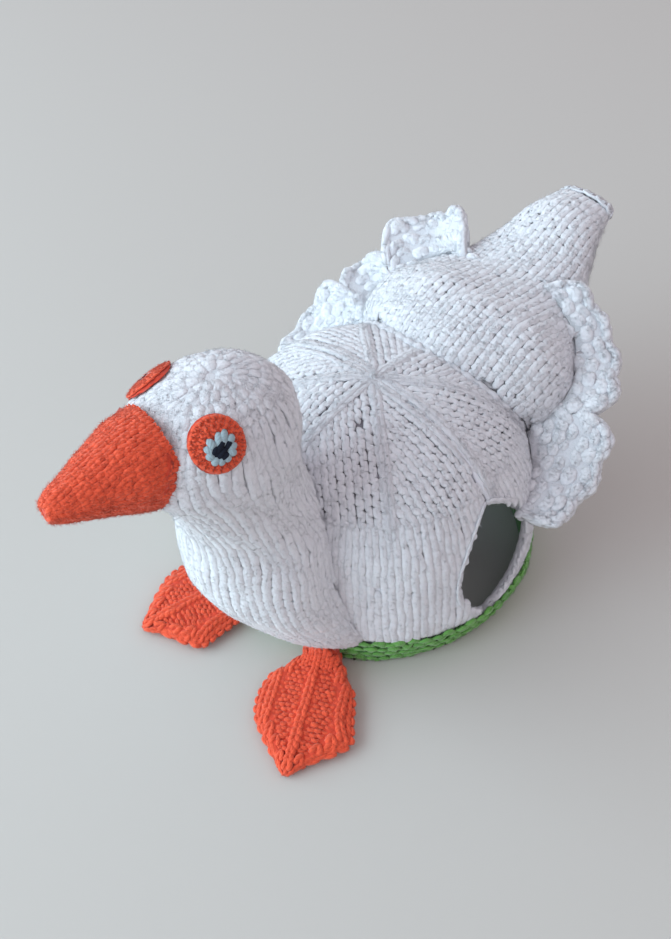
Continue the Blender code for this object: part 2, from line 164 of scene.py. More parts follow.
# Knitting. Each white wedge of the crown: its low and high azimuth in degrees, and its wales at the hem.
WEDGES = (
    (-180, -138, 8),
    (-138, -90, 10),
    (-90, -42, 10),
    (-42, 0, 8),
    (0, 42, 8),
    (42, 90, 10),
    (90, 138, 10),
    (138, 180, 8),
)
LEG_MIDDLE = 0.235
LEG = (  # one leg of a plain stitch: across and along in stitches, lift in half yarns, share of width
    (0.060, -0.42, -0.90, 0.55),
    (0.090, -0.26, -0.34, 0.80),
    (0.140, -0.04, -0.02, 0.92),
    (0.210, 0.26, 0.10, 0.98),
    (0.262, 0.56, 0.12, 1.03),
    (0.285, 0.84, 0.02, 1.03),
    (0.275, 1.06, -0.30, 0.92),
    (0.240, 1.24, -0.85, 0.60),
)
PURL = (  # one purl bump: across and along in stitches, lift in half yarns, share of width
    (-0.52, -0.26, -1.10, 0.40),
    (-0.40, -0.08, -0.35, 0.85),
    (-0.20, 0.14, 0.20, 1.00),
    (0.00, 0.22, 0.36, 1.00),
    (0.20, 0.14, 0.20, 1.00),
    (0.40, -0.08, -0.35, 0.85),
    (0.52, -0.26, -1.10, 0.40),
)


# ---------------------------------------------------------------- shapes


def ramp(value, low, high):
    """0 at low and 1 at high, with soft ends."""
    share = np.clip((value - low) / (high - low), 0.0, 1.0)
    return share * share * (3.0 - 2.0 * share)


def smooth_table(table, count=400):
    """count rows on a Catmull-Rom curve through the table's rows."""
    rows = np.array(table, float)
    padded = np.vstack([2 * rows[0] - rows[1], rows, 2 * rows[-1] - rows[-2]])
    place = np.linspace(0.0, len(rows) - 1.0, count)
    index = np.minimum(place.astype(int), len(rows) - 2)
    t = (place - index)[:, None]
    before, start, end, after = (padded[index + step] for step in range(4))
    curve = 2 * start + (end - before) * t
    curve += (2 * before - 5 * start + 4 * end - after) * t**2
    curve += (3 * start - before - 3 * end + after) * t**3
    return 0.5 * curve


class Run:
    """A table of sections, read by how far one has gone along it."""

    def __init__(self, table, columns):
        self.rows = smooth_table(table)
        steps = np.linalg.norm(np.diff(self.rows[:, columns], axis=0), axis=1)
        self.way = np.concatenate([[0.0], np.cumsum(steps)])
        self.length = self.way[-1]

    def at(self, way):
        way = np.asarray(way, float)
        return [np.interp(way, self.way, column) for column in self.rows.T]

    def frame(self, way, step=0.0015):
        """The section at a way, and the run's direction there."""
        ahead, behind = self.at(np.minimum(way + step, self.length)), self.at(np.maximum(way - step, 0))
        first, second = ahead[0] - behind[0], ahead[1] - behind[1]
        size = np.hypot(first, second) + 1e-12
        return self.at(way), first / size, second / size

    def placing(self, row_height, point):
        """Where each stitch (k, row) lies, if its rows follow the run. point takes k and the way."""
        return lambda k, row: point(k, np.clip(row * row_height, 0.0, self.length))


DOME = Run(DOME_PROFILE, (0, 1))
HEAD = Run(HEAD_SECTIONS, (0, 3))
BEAK = Run(BEAK_SECTIONS, (0, 1))
TAIL = Run(TAIL_SECTIONS, (0, 1))
FOOT = Run(FOOT_SECTIONS, (0, 1))


def dome_middle(height):
    """How far back the dome's middle line stands at a height."""
    return HEM_CENTRE_Y * (1.0 - height / HEIGHT) + SHIFT_Y


def dome_point(angle, way, depth=0.0):
    (height, radius), rise, spread = DOME.frame(way)
    radius = radius - depth * rise
    y = dome_middle(height) + radius * np.sin(angle)
    return np.stack([radius * np.cos(angle), y, height + depth * spread], axis=-1)


def turned(points):
    """Points moved as the head looks aside, more the higher they are."""
    angle = HEAD_TURN * ramp(points[..., 2], TURN_FOOT, TURN_FULL)
    x, y = points[..., 0], points[..., 1] - HEAD_PIVOT_Y
    across = x * np.cos(angle) - y * np.sin(angle)
    along = x * np.sin(angle) + y * np.cos(angle) + HEAD_PIVOT_Y
    return np.stack([across, along + SHIFT_Y, points[..., 2]], axis=-1)


def head_point(angle, way):
    height, middle, half_width, half_depth = HEAD.at(way)
    return turned(np.stack([half_width * np.cos(angle), middle + half_depth * np.sin(angle), height], axis=-1))


def oval_round(wide, high):
    """The way round an oval, from its half width and half height."""
    return 2 * math.pi * np.sqrt((wide**2 + high**2) / 2)


def oval_angle(arc, wide, high):
    """The angle from an oval's top at which its edge has run an arc."""
    mean, swing = (wide + high) / 2, (wide - high) / 4
    angle = arc / mean
    for _ in range(4):
        error = mean * angle + swing * np.sin(2 * angle) - arc
        angle = angle - error / (mean + 2 * swing * np.cos(2 * angle))
    return angle


def beak_point(key, arc, way):
    """key is the angle round the beak that arcs are measured from, 0 at its top."""
    distance, half_width, half_height = BEAK.at(way)
    angle = key + oval_angle(arc, half_width, half_height)
    out = half_height * np.cos(angle)
    y = BEAK_ROOT[1] - distance * math.cos(BEAK_PITCH) + out * math.sin(BEAK_PITCH)
    z = BEAK_ROOT[2] + distance * math.sin(BEAK_PITCH) + out * math.cos(BEAK_PITCH)
    return turned(np.stack([-half_width * np.sin(angle), y, z], axis=-1))


def tail_point(key, arc, way):
    """key is the angle round the tail that arcs are measured from, 0 at its top."""
    (y, height, half_width, half_thick), back, rise = TAIL.frame(way)
    angle = key + oval_angle(arc, half_width, half_thick)
    out = half_thick * np.cos(angle)
    return np.stack([half_width * np.sin(angle), y - out * rise + SHIFT_Y, height + out * back], axis=-1)


def beside_foot(foot, way, across, out, lowest):
    """Points across from and above a foot's middle line, none under the lowest height."""
    _, ankle_x, ankle_y, degrees = foot
    turn = math.radians(degrees)
    (along, height, *_), forward, rise = FOOT.frame(way)
    ahead = along - out * rise
    x = ankle_x + ahead * math.sin(turn) + across * math.cos(turn)
    y = ankle_y - ahead * math.cos(turn) + across * math.sin(turn) + SHIFT_Y
    return np.stack([x, y, np.maximum(height + out * forward, lowest)], axis=-1)


def foot_point(foot, across, face, way):
    """across runs from -1 to 1 over the foot's width, on its upper or under face."""
    half_width, half_thick = FOOT.at(way)[2:]
    across = np.clip(across, -0.995, 0.995)
    return beside_foot(foot, way, half_width * across, face * half_thick * np.sqrt(1.0 - across**2), 0.0006)


def foot_rim(foot, edge, way, angle, past=0.0):
    """Points round the pad's edge: angle runs from its upper to its under face, past reaches beyond it."""
    half_width, half_thick = FOOT.at(way)[2:]
    across = edge * (np.maximum(half_width, 0.001) * np.cos(angle) + past)
    return beside_foot(foot, way, across, np.maximum(half_thick, 0.001) * np.sin(angle), 0.0014)


def ruffle_edge(flaps, degrees):
    """The ruffle's reach and wave at an angle."""
    low, high = RUFFLE_NOTCH_REACH - RUFFLE_BUMP, RUFFLE_WAVE
    edge, wave = np.full_like(degrees, low), np.full_like(degrees, high)
    for start, end, flap_reach in flaps:
        share = np.clip((degrees - start) / (end - start), 0.0, 1.0)
        bumps = max(1, round((end - start) / RUFFLE_BUMP_SPACING))
        full = 1.0 - (1.0 - np.sin(math.pi * share)) ** 4
        here = RUFFLE_NOTCH_REACH + (flap_reach - RUFFLE_NOTCH_REACH) * full
        here -= RUFFLE_BUMP * (1.0 - np.abs(np.sin(math.pi * bumps * share)))
        within = (degrees >= start) & (degrees <= end)
        edge = np.where(within, here, edge)
        wave = np.where(within, RUFFLE_WAVE * np.cos(2 * math.pi * share), wave)
    return edge, wave


def ruffle_drawn(side, degrees):
    """How many degrees the far end of the right-hand flaps is drawn in towards the front."""
    return 6.0 * ramp(degrees, 50.0, 74.0) if side < 0 else 0.0 * degrees


def ruffle_point(ruffle, degrees, share, face):
    """share runs from 0 at the ruffle's root to 1 at its edge."""
    _, side, flaps = ruffle
    edge, wave = ruffle_edge(flaps, degrees)
    angle = np.radians(degrees - ruffle_drawn(side, degrees))
    radius = RUFFLE_ROOT + (edge - RUFFLE_ROOT) * share
    half = RUFFLE_THICKNESS / 2 * np.sqrt(np.clip(1.0 - (share - 0.9).clip(0) ** 2 * 100, 0.02, 1))
    lift = face * half + wave * share
    out = radius * np.sin(angle)
    y = RUFFLE_CENTRE[0] + out * math.cos(RUFFLE_RISE) - lift * math.sin(RUFFLE_RISE)
    z = RUFFLE_CENTRE[1] + out * math.sin(RUFFLE_RISE) + lift * math.cos(RUFFLE_RISE)
    return np.stack([side * radius * np.cos(angle), y + SHIFT_Y, z], axis=-1)


def lumps(points):
    """The soft unevenness of hand knitting, in metres out of the surface."""
    x, y, z = points[..., 0], points[..., 1], points[..., 2]
    wide = np.sin(95 * x + 41 * z + 1.3) * np.sin(83 * y - 57 * z + 0.4)
    small = np.sin(230 * x - 190 * y + 2.1) * np.sin(210 * z + 120 * y + 0.7)
    return 0.0008 * wide + 0.0004 * small


def way_at(height):
    """The way up the dome at which it reaches a height."""
    return np.interp(height, DOME.rows[:, 0], DOME.way)


def by_handle(angle):
    """How near an azimuth is to the front of the handle opening, from 0 to 1."""
    degrees = np.degrees(angle)
    return ramp(degrees, -68.0, -12.0) * (1.0 - ramp(degrees, 2.0, 30.0))


# ---------------------------------------------------------------- changes of shape


def reshape(piece, move, *given):
    """Moves a piece's points by a function of them all, and keeps them off the floor."""
    points = np.empty(len(piece.data.vertices) * 3, np.float32)
    piece.data.vertices.foreach_get("co", points)
    points = points.reshape(-1, 3)
    move(points, *given)
    points[:, 2] = points[:, 2].clip(0.0)
    piece.data.vertices.foreach_set("co", points.reshape(-1))
    piece.data.update()


def tuck_border(points):
    """Draws the border's foot in under the front of the handle opening."""
    out = points[:, :2] - (0.0, HEM_CENTRE_Y + SHIFT_Y)
    share = by_handle(np.arctan2(out[:, 1], out[:, 0])) * (1.0 - points[:, 2] / BORDER_TOP).clip(0, 1)
    points[:, :2] -= out / np.linalg.norm(out, axis=1)[:, None] * (BORDER_TUCK * share)[:, None]


def blunt_beak(points):
    """Cuts the beak's filling back behind its knitted tip."""
    middle_line = turned(np.array(((0.0, -1.0, BEAK_ROOT[2]), (0.0, 0.0, BEAK_ROOT[2]))))
    ahead = middle_line[0] - middle_line[1]
    past = (points - beak_point(0.0, 0.0, BEAK.length)) @ ahead + BEAK_BLUNT
    points -= past.clip(0)[:, None] * ahead


def widen_foot(points, foot):
    """Fills out the pad's right side near its toe, and draws in the left side of the leg."""
    _, ankle_x, ankle_y, degrees = foot
    turn = math.radians(degrees)
    flat = points[:, :2] - (ankle_x, ankle_y + SHIFT_Y)
    aside = np.array((math.cos(turn), math.sin(turn)))
    along, across = flat @ (math.sin(turn), -math.cos(turn)), flat @ aside
    for side, share, middle, reach in FOOT_CHANGES:
        points[:, :2] += ((side * across).clip(0) * share * np.exp(-(((along - middle) / reach) ** 2)))[:, None] * aside


def draw_ruffle(points, side):
    """Draws in the end of a ruffle's cloth as its stitches are."""
    middle = np.array((0.0, RUFFLE_CENTRE[0] + SHIFT_Y, RUFFLE_CENTRE[1]))
    back = np.array((0.0, math.cos(RUFFLE_RISE), math.sin(RUFFLE_RISE)))
    place = points - middle
    out, away = side * place[:, 0], place @ back
    angle = np.arctan2(away, out)
    turn = angle - np.radians(ruffle_drawn(side, np.degrees(angle)))
    reach = np.hypot(out, away)
    place += (reach * np.sin(turn) - away)[:, None] * back
    place[:, 0] = side * reach * np.cos(turn)
    points[:] = middle + place


# ---------------------------------------------------------------- meshes


def unit(vectors):
    return vectors / (np.linalg.norm(vectors, axis=-1, keepdims=True) + 1e-15)


def facing(place, k, row, step=0.08):
    """Outward normals of place(k, row)."""
    across = place(k + step, row) - place(k - step, row)
    along = place(k, row + step) - place(k, row - step)
    return unit(np.cross(across, along))


def read_along(at, arc, *parts):
    """Parts of three columns each, known along an arc, read at other places along it."""
    return [np.stack([np.interp(at, arc, column) for column in part.T], axis=-1) for part in parts]


def lattice(columns, rows):
    """Every pairing of the columns with the rows, as two flat arrays."""
    k, row = np.meshgrid(np.asarray(columns, float), np.asarray(rows, float))
    return k.ravel(), row.ravel()


def array_object(name, points, corners, totals, uv, tones=0.0, ends=0.0):
    """An object from arrays: points, the faces' corners and counts, and the layers that yarn finishes read."""
    mesh = bpy.data.meshes.new(name)
    mesh.vertices.add(len(points))
    mesh.loops.add(len(corners))
    mesh.polygons.add(len(totals))

    def fill(target, key, values, shape, kind=np.float32):
        target.foreach_set(key, np.broadcast_to(values, shape).astype(kind).ravel())

    fill(mesh.vertices, "co", points, points.shape)
    fill(mesh.loops, "vertex_index", corners, corners.shape, np.int32)
    fill(mesh.polygons, "loop_start", np.cumsum(totals) - totals, totals.shape, np.int32)
    fill(mesh.polygons, "loop_total", totals, totals.shape, np.int32)
    fill(mesh.polygons, "use_smooth", True, totals.shape, bool)
    fill(mesh.uv_layers.new(name="yarn").data, "uv", uv, (len(corners), 2))
    # tone is a tone that differs at random; end weighs the painted shade at the sunk ends
    for key, values in (("tone", tones), ("end", ends)):
        fill(mesh.attributes.new(key, "FLOAT", "POINT").data, "value", values, len(points))
    mesh.update(calc_edges=True)
    mesh.validate()
    made = bpy.data.objects.new(name, mesh)
    bpy.context.scene.collection.objects.link(made)
    return made


def yarn_faces(rings, sides):
    """One piece of yarn: its faces' corners, their counts, and the corners' coordinates along and round it."""
    corners, uv = [], []
    first, last, top = rings * sides, rings * sides + 1, (rings - 1) * sides
    for ring in range(rings - 1):
        low, high = ring * sides, (ring + 1) * sides
        u = ring / (rings - 1), (ring + 1) / (rings - 1)
        for side in range(sides):
            after, v = (side + 1) % sides, (side / sides, (side + 1) / sides)
            corners += [low + side, high + side, high + after, low + after]
            uv += [(u[0], v[0]), (u[1], v[0]), (u[1], v[1]), (u[0], v[1])]
    for side in range(sides):
        after, v = (side + 1) % sides, (side / sides, (side + 1) / sides)
        corners += [first, side, after, last, top + after, top + side]
        uv += [(-0.05, sum(v) / 2), (0.0, v[0]), (0.0, v[1]), (1.05, sum(v) / 2), (1.0, v[1]), (1.0, v[0])]
    return np.array(corners), np.array([4] * top + [3] * (2 * sides)), np.array(uv)


def yarn_object(name, paths, normals, widths, heights, tones, sunk, sides):
    """One object of closed yarn pieces: paths and normals are (pieces, rings, 3)."""
    count, rings = paths.shape[:2]
    random = np.random.default_rng(count)
    tangents = unit(np.gradient(paths, axis=1))
    across = unit(np.cross(tangents, normals))
    up = np.cross(across, tangents)
    turn = np.linspace(0.0, 2 * math.pi, sides, endpoint=False)
    aside, rise = np.array(ARCHED).T if sides == len(ARCHED) else (np.cos(turn), np.sin(turn))
    rough = 1.0 + random.normal(0.0, YARN_ROUGH, (count, rings, 1))
    rough = rough + random.normal(0.0, YARN_ROUGH, (count, rings, sides))
    ring = across[:, :, None] * (widths[:, :, None] * rough * aside)[..., None]
    ring = ring + up[:, :, None] * (heights[:, :, None] * rough * rise)[..., None]
    ring = (ring + paths[:, :, None]).reshape(count, -1, 3)
    first = paths[:, :1] - tangents[:, :1] * widths[:, :1, None] * 0.5
    last = paths[:, -1:] + tangents[:, -1:] * widths[:, -1:, None] * 0.5
    points = np.concatenate([ring, first, last], axis=1)
    corners, totals, uv = yarn_faces(rings, sides)
    corners = corners + (np.arange(count) * points.shape[1])[:, None]
    length = np.linalg.norm(np.diff(paths, axis=1), axis=2).sum(axis=1)
    uv = np.broadcast_to(uv, (count, *uv.shape)).copy()
    uv[..., 0] = uv[..., 0] * (length / UV_LENGTH)[:, None] + (tones * UV_OFFSET)[:, None]
    # the end layer weighs the painted shade at the sunk ends
    ends = np.concatenate([np.repeat(sunk, sides, axis=1), sunk[:, :1], sunk[:, -1:]], axis=1)
    return array_object(
        name, points.reshape(-1, 3), corners.ravel(), np.tile(totals, count), uv.reshape(-1, 2),
        np.repeat(tones, points.shape[1]), ends.ravel(),
    )


ARCHED = ((1.0, -0.35), (0.76, 0.74), (0.0, 1.0), (-0.76, 0.74), (-1.0, -0.35))  # a low arch, flat below
YARN_ROUGH = 0.05  # how unevenly thick the yarn is
UV_LENGTH, UV_OFFSET = 0.004, 7.3  # metres of yarn to a unit, and how far apart two pieces' patterns start
FIBRE_FACES = (0, 2, 1, 0, 1, 3, 1, 2, 3, 2, 0, 3)
RINGS_PER_ROW = 5
WALE_SWAY = ((0.0, -1.0), (0.2, -0.55), (0.4, 0.45), (0.6, 1.0), (0.8, 0.3), (1.0, -1.0))  # row, side
WALE_TUCK = ((0.0, 1.0), (0.2, 0.45), (0.4, 0.05), (0.6, 0.1), (0.8, 0.35), (1.0, 1.0))  # row, depth
WALE_PINCH = ((0.0, 1.0), (0.2, 0.25), (0.4, 0.2), (0.6, 0.9), (0.8, 0.25), (1.0, 1.0))  # row, thinning
EYELET_RADIUS = 0.0021
LATE_START = 0.15  # how far up its first row a strand starts where the cloth before it is hidden
LEAST_RINGS = 5


def at_row(value, row):
    """A size at a row: a number, or a function of the row."""
    return value(row) if callable(value) else value


class Knitting:
    """Gathers stitches that lie on surfaces, then makes them one mesh."""

    def __init__(self, seed, uneven=1.0, eyelets=()):
        self.uneven = uneven
        self.eyelets = np.array(eyelets)
        self.fibres = None
        self.random = np.random.default_rng(seed)
        self.parts = []

    def keep(self, points, normals, widths, flat, sunk):
        """Stores pieces of yarn, each with a tone of its own, and how sunk each of its rings is, which sets the painted
        shade there.
        """
        tones = self.random.random(len(points))
        self.parts.append((points, normals, widths, widths * flat, tones, np.broadcast_to(sunk, widths.shape)))

    def strands(self, points, normals, widths, flat=0.85):
        """Adds pieces of yarn given as points: (pieces, rings, 3), or (rings, 3) for one."""
        points = points.reshape(-1, *points.shape[-2:])
        widths = np.broadcast_to(widths, points.shape[:2])
        self.keep(points, np.broadcast_to(normals, points.shape), widths, flat, sunk_end_shade(points.shape[1]))

    def add(self, place, k, row, shape, yarn, side=1.0, flat=0.55, sink=0.0006, wobble=0.035, out=1.0, spread=1.0):
        """Lays one piece of yarn at each stitch (k, row). spread sets how far its ends swing to and fro."""
        if not len(k):
            return
        swing, rise, lift, share = np.array(shape).T
        drift = self.random.normal(0.0, wobble, (4, len(k), 1))
        across = k[:, None] + side * (LEG_MIDDLE + (swing - LEG_MIDDLE) * spread) + drift[0] * 0.7
        along = row[:, None] + rise + drift[1]
        points = place(across, along)
        normals = facing(place, across, along) * out
        thick = yarn * (1.0 + drift[2])
        lift = lift * thick * flat - sink + self.uneven * lumps(points) + drift[3] * thick * 0.5
        self.keep(points + normals * lift[..., None], normals, thick * share, flat, sunk_end_shade(len(shape)))

    def plain(self, place, k, row, yarn, node=None, clear_of=(), within=0.0022, **more):
        """Lays plain stitches, two legs each, and leaves out the legs that miss the node's skin."""
        kept = slice(None)
        for side in (1.0, -1.0):
            if node:
                kept, more["out"] = kept_stitches(node, place, k + side * LEG_MIDDLE, row, clear_of, within)
            self.add(place, k[kept], row[kept], LEG, yarn, side=side, **more)

    def wale(self, place, k, first, last, side, late, node, out, middle, early, yarn, swing, flat, sink, wobble):
        """Runs one long strand up one side of a wale, from its first row to its last.

        It begins the early part of a row before, and stops where the node's cloth stops. A late one starts
        in its first row, unless it starts at an edge.
        """
        phases = np.linspace(0.0, 1.0, RINGS_PER_ROW, endpoint=False)
        row = (np.arange(first, last + 1)[:, None] + phases).reshape(-1)
        early = early * self.random.uniform(0.7, 1.3)
        row = np.concatenate([[first - early, first - early / 2], row, [last + 1.0, last + 1.12, last + 1.25]])
        rows = np.arange(first - 1, last + 4)
        drift = [np.interp(row, rows, self.random.normal(0.0, wobble, len(rows))) for _ in range(3)]
        gap = at_row(swing, row) * np.interp(row, rows, self.random.normal(1.0, 0.4, len(rows)).clip(0.1, 1.7))
        sway, tuck, pinch = (
            np.interp(row - np.floor(row), *np.array(table).T) for table in (WALE_SWAY, WALE_TUCK, WALE_PINCH)
        )
        across = k + side * (middle + gap * sway) + 0.8 * drift[0]
        points = place(across[None], row[None])
        low, high = 0, len(row)
        while late and low < 7 and not touches(node, points[0, low]):
            low += 1
        if late and low == 0:
            low = int(np.searchsorted(row, first + LATE_START))
        while high > len(row) - 10 and not touches(node, points[0, high - 1]):
            high -= 1
        if high - low < LEAST_RINGS:
            return
        points = points[:, low:high]
        row, across, gap, tuck, pinch, _, thicker, higher = (
            each[low:high] for each in (row, across, gap, tuck, pinch, *drift)
        )
        end = np.clip(np.minimum(row - row[0], row[-1] - row) / 0.3, 0.0, 1.0)
        normals = facing(place, across[None], row[None]) * out
        thick = at_row(yarn, row) * (1.0 + thicker)
        rise = (-(0.38 - 5.0 * gap).clip(0.07) * tuck - 0.9 * (1.0 - end) + 0.8 * higher) * thick * flat - sink
        rise = rise + self.uneven * lumps(points)
        widths = (thick * (1.0 - 5.0 * gap * pinch) * (0.5 + 0.5 * end))[None]
        # painted shade where the strand tucks under the next row, and at its ends
        sunk = np.maximum(tuck**2 * (2 * gap).clip(0, 1), 1.0 - end)
        self.keep(points + normals * rise[..., None], normals, widths, flat, sunk)

    def wales(self, place, columns, rows, fits, node, yarn, swing, clear_of=(), within=0.0022, flat=0.55,
              sink=0.0010, wobble=0.04, middle=0.235, early=0.30):
        """Runs two strands up every wale, wherever they lie on the node's skin.

        fits says which stitches (k, row) there are. yarn and swing give the strands' half width and their
        sway in stitches at a row.
        """
        rows = np.asarray(rows)
        for side in (1.0, -1.0):
            k, row = lattice(columns, rows)
            kept, out = kept_stitches(node, place, k + side * middle, row, clear_of, within)
            kept = (kept & fits(k, row)).reshape(len(rows), -1)
            holed = self.holed(place, k + side * middle, row).reshape(kept.shape)
            kept &= ~holed
            for column, number in enumerate(columns):
                edges = np.flatnonzero(np.diff(np.concatenate([[0], kept[:, column], [0]])))
                for start, stop in zip(edges[::2], edges[1::2]):
                    late = start > 0 and not holed[start - 1, column]
                    self.wale(
                        place, number, rows[start], rows[stop - 1], side, late, node, out, middle,
                        at_row(early, number), yarn, swing, flat, sink, wobble,
                    )

    def holed(self, place, k, row):
        """Whether a stitch lies at one of the eyelets left in the cloth."""
        if not len(self.eyelets):
            return np.zeros(len(k), bool)
        middle = place(k[:, None], row[:, None] + 0.5)
        return (np.linalg.norm(middle - self.eyelets, axis=-1) < EYELET_RADIUS).any(axis=1)

    def fuzz(self, count, length, thick=0.00013):
        """Adds loose fibres that stand off the yarn, each a fine closed spike."""
        roots, ups, highs = (
            np.concatenate([part[index][:, 1:-1].reshape(-1, columns) for part in self.parts])
            for index, columns in ((0, 3), (1, 3), (3, 1))
        )
        chosen = self.random.integers(0, len(roots), count)
        up = ups[chosen]
        root = roots[chosen] + up * highs[chosen] * 0.75
        away = unit(np.cross(up, self.random.normal(size=(count, 3))))
        lean = unit(away + up * self.random.uniform(0.02, 0.75, (count, 1)))
        tip = root + lean * length * self.random.uniform(0.4, 1.3, (count, 1))
        across = unit(np.cross(lean, up + away * 0.3)) * thick
        over = np.cross(lean, across)
        corners = [root + across, root - across * 0.5 + over * 0.87, root - across * 0.5 - over * 0.87, tip]
        self.fibres = np.stack(corners, axis=1)

    def make(self, name, finish, sides=5, shape=None):
        """Makes the piece of all the yarn gathered, and seats it on the cosy's one body."""
        made = []
        for rings in sorted({part[0].shape[1] for part in self.parts}):
            alike = [part for part in self.parts if part[0].shape[1] == rings]
            joined = [np.concatenate(each) for each in zip(*alike)]
            made.append(yarn_object(f"{name}_{rings}", *joined, sides))
        if self.fibres is not None:
            corners = np.array(FIBRE_FACES) + np.arange(len(self.fibres))[:, None] * 4
            totals = np.full(len(self.fibres) * 4, 3)
            uv = np.tile(((0, 0), (1, 0), (1, 1)), (len(totals), 1))
            made.append(array_object(f"{name}_fibres", self.fibres.reshape(-1, 3), corners.ravel(), totals, uv))
        first = made[0]
        if len(made) > 1:
            with bpy.context.temp_override(active_object=first, selected_editable_objects=made):
                bpy.ops.object.join()
        first.name = first.data.name = name
        first.data.materials.append(finish)
        if shape:
            reshape(first, *shape)
        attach(first, "root")
        return first


def sunk_end_shade(rings):
    """How sunk each ring of a short piece of yarn is, most at its two ends: the weight of the painted shade there."""
    return np.abs(np.linspace(-1, 1, rings)) ** 3


@functools.cache
def skin(node):
    """A solid's skin, to find the nearest point of."""
    mesh = NODES[node].data
    return BVHTree.FromPolygons([v.co.copy() for v in mesh.vertices], [tuple(p.vertices) for p in mesh.polygons])


def touches(node, point, near=0.0015):
    """Whether a point lies on a solid's skin."""
    return skin(node).find_nearest(Vector(point))[3] < near


def buried(node, point, deep=0.0050):
    """Whether a point lies inside a solid and not just under its skin."""
    start = Vector(point)
    if skin(node).find_nearest(start)[3] < deep:
        return False
    direction = Vector((0.213, 0.341, 0.915)).normalized()
    crossings = 0
    while crossings < 50 and (hit := skin(node).ray_cast(start, direction)[0]) is not None:
        crossings += 1
        start = hit + direction * 1e-6
    return crossings % 2 == 1


def kept_stitches(node, place, k, row, clear_of=(), within=0.0022):
    """The stitches that lie on a solid's own skin and outside its neighbours, and which way they face."""
    middle = place(k[:, None], row[:, None] + 0.4)[:, 0]
    normals = facing(place, k[:, None], row[:, None] + 0.4)[:, 0]
    dots, away = np.zeros(len(k)), np.zeros(len(k))
    for index, (point, normal) in enumerate(zip(middle, normals)):
        _, found, _, away[index] = skin(node).find_nearest(Vector(point))
        dots[index] = found.dot(Vector(normal))
    out = 1.0 if dots[away < within].sum() >= 0 else -1.0
    kept = (away < within) & (dots * out > 0.05)
    outside = middle + normals * out * 0.0014
    for other in clear_of:
        for index in np.flatnonzero(kept):
            kept[index] = not buried(other, outside[index])
    return kept, out


def ground(node, kind, inset, finish, near=1.0, outward=None, inside=None, shape=None):
    """The piece under the stitches: the solid's skin, drawn in a little, seated in the solid's place.

    near is its share of the lumps. outward gives the way out of a sheet at a point, so that only its outer
    face is drawn in. The inside finish goes on its inner face, and on the outer one by the seams and below
    PALE_UNDER; the given finish, a ground painted darker as the shade between the stitches, goes everywhere else.
    """
    mesh = NODES[node].data.copy()
    mesh.materials.clear()
    made = bpy.data.objects.new(f"{node}_{kind}", mesh)
    bpy.context.scene.collection.objects.link(made)
    shaped = bmesh.new()
    shaped.from_mesh(mesh)
    bmesh.ops.remove_doubles(shaped, verts=shaped.verts, dist=1e-6)
    bmesh.ops.recalc_face_normals(shaped, faces=shaped.faces)
    shaped.normal_update()
    moved = []
    for vert in shaped.verts:
        share = 1.0 if outward is None else max(0.0, vert.normal.dot(outward(vert.co)))
        lump = float(lumps(np.array(vert.co))) * near
        moved.append(vert.co + vert.normal * (lump - inset) * share)
    for vert, place in zip(shaped.verts, moved):
        vert.co = place
    for face in shaped.faces:
        face.smooth = True
        face.material_index = 0
        if inside:
            middle = face.calc_center_median()
            by_seam = abs(middle.y) < SEAM_WIDTH and abs(middle.x) > SEAM_SIDE
            inner = face.normal.dot(outward(middle)) < 0.4
            # these faces take the pale inside finish instead of the painted shade of the outer ground
            face.material_index = int(middle.z < PALE_UNDER or by_seam or inner)
    shaped.to_mesh(mesh)
    shaped.free()
    mesh.name = made.name
    for each in filter(None, (finish, inside)):
        mesh.materials.append(each)
    if shape:
        reshape(made, *shape)
    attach(made, "root")
    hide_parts(node)
    return made


# ---------------------------------------------------------------- finishes


def feed(tree, node, inputs):
    """Sets a shader node's inputs, each to a value or from a socket."""
    for key, value in dict(inputs).items():
        if isinstance(value, bpy.types.NodeSocket):
            tree.links.new(value, node.inputs[key])
        else:
            node.inputs[key].default_value = value


def add_node(tree, kind, inputs=(), **settings):
    made = tree.nodes.new(kind)
    for key, value in settings.items():
        setattr(made, key, value)
    feed(tree, made, inputs)
    return made


def maths(tree, operation, *values):
    return add_node(tree, "ShaderNodeMath", enumerate(values), operation=operation).outputs[0]


def mixed(tree, share, first, second):
    inputs = {0: share, 6: first, 7: second}
    return add_node(tree, "ShaderNodeMix", inputs, data_type="RGBA", clamp_factor=True).outputs[2]


def effect(name, inputs):
    """A new shared group with these inputs and their defaults, which puts out a height and a colour."""
    group = bpy.data.node_groups.new(name, "ShaderNodeTree")
    for key, value in inputs.items():
        kind = "NodeSocketColor" if isinstance(value, tuple) else "NodeSocketFloat"
        group.interface.new_socket(name=key, in_out="INPUT", socket_type=kind).default_value = value
    for key, kind in (("Height", "NodeSocketFloat"), ("Colour", "NodeSocketColor")):
        group.interface.new_socket(name=key, in_out="OUTPUT", socket_type=kind)
    return group, add_node(group, "NodeGroupInput").outputs, functools.partial(maths, group)


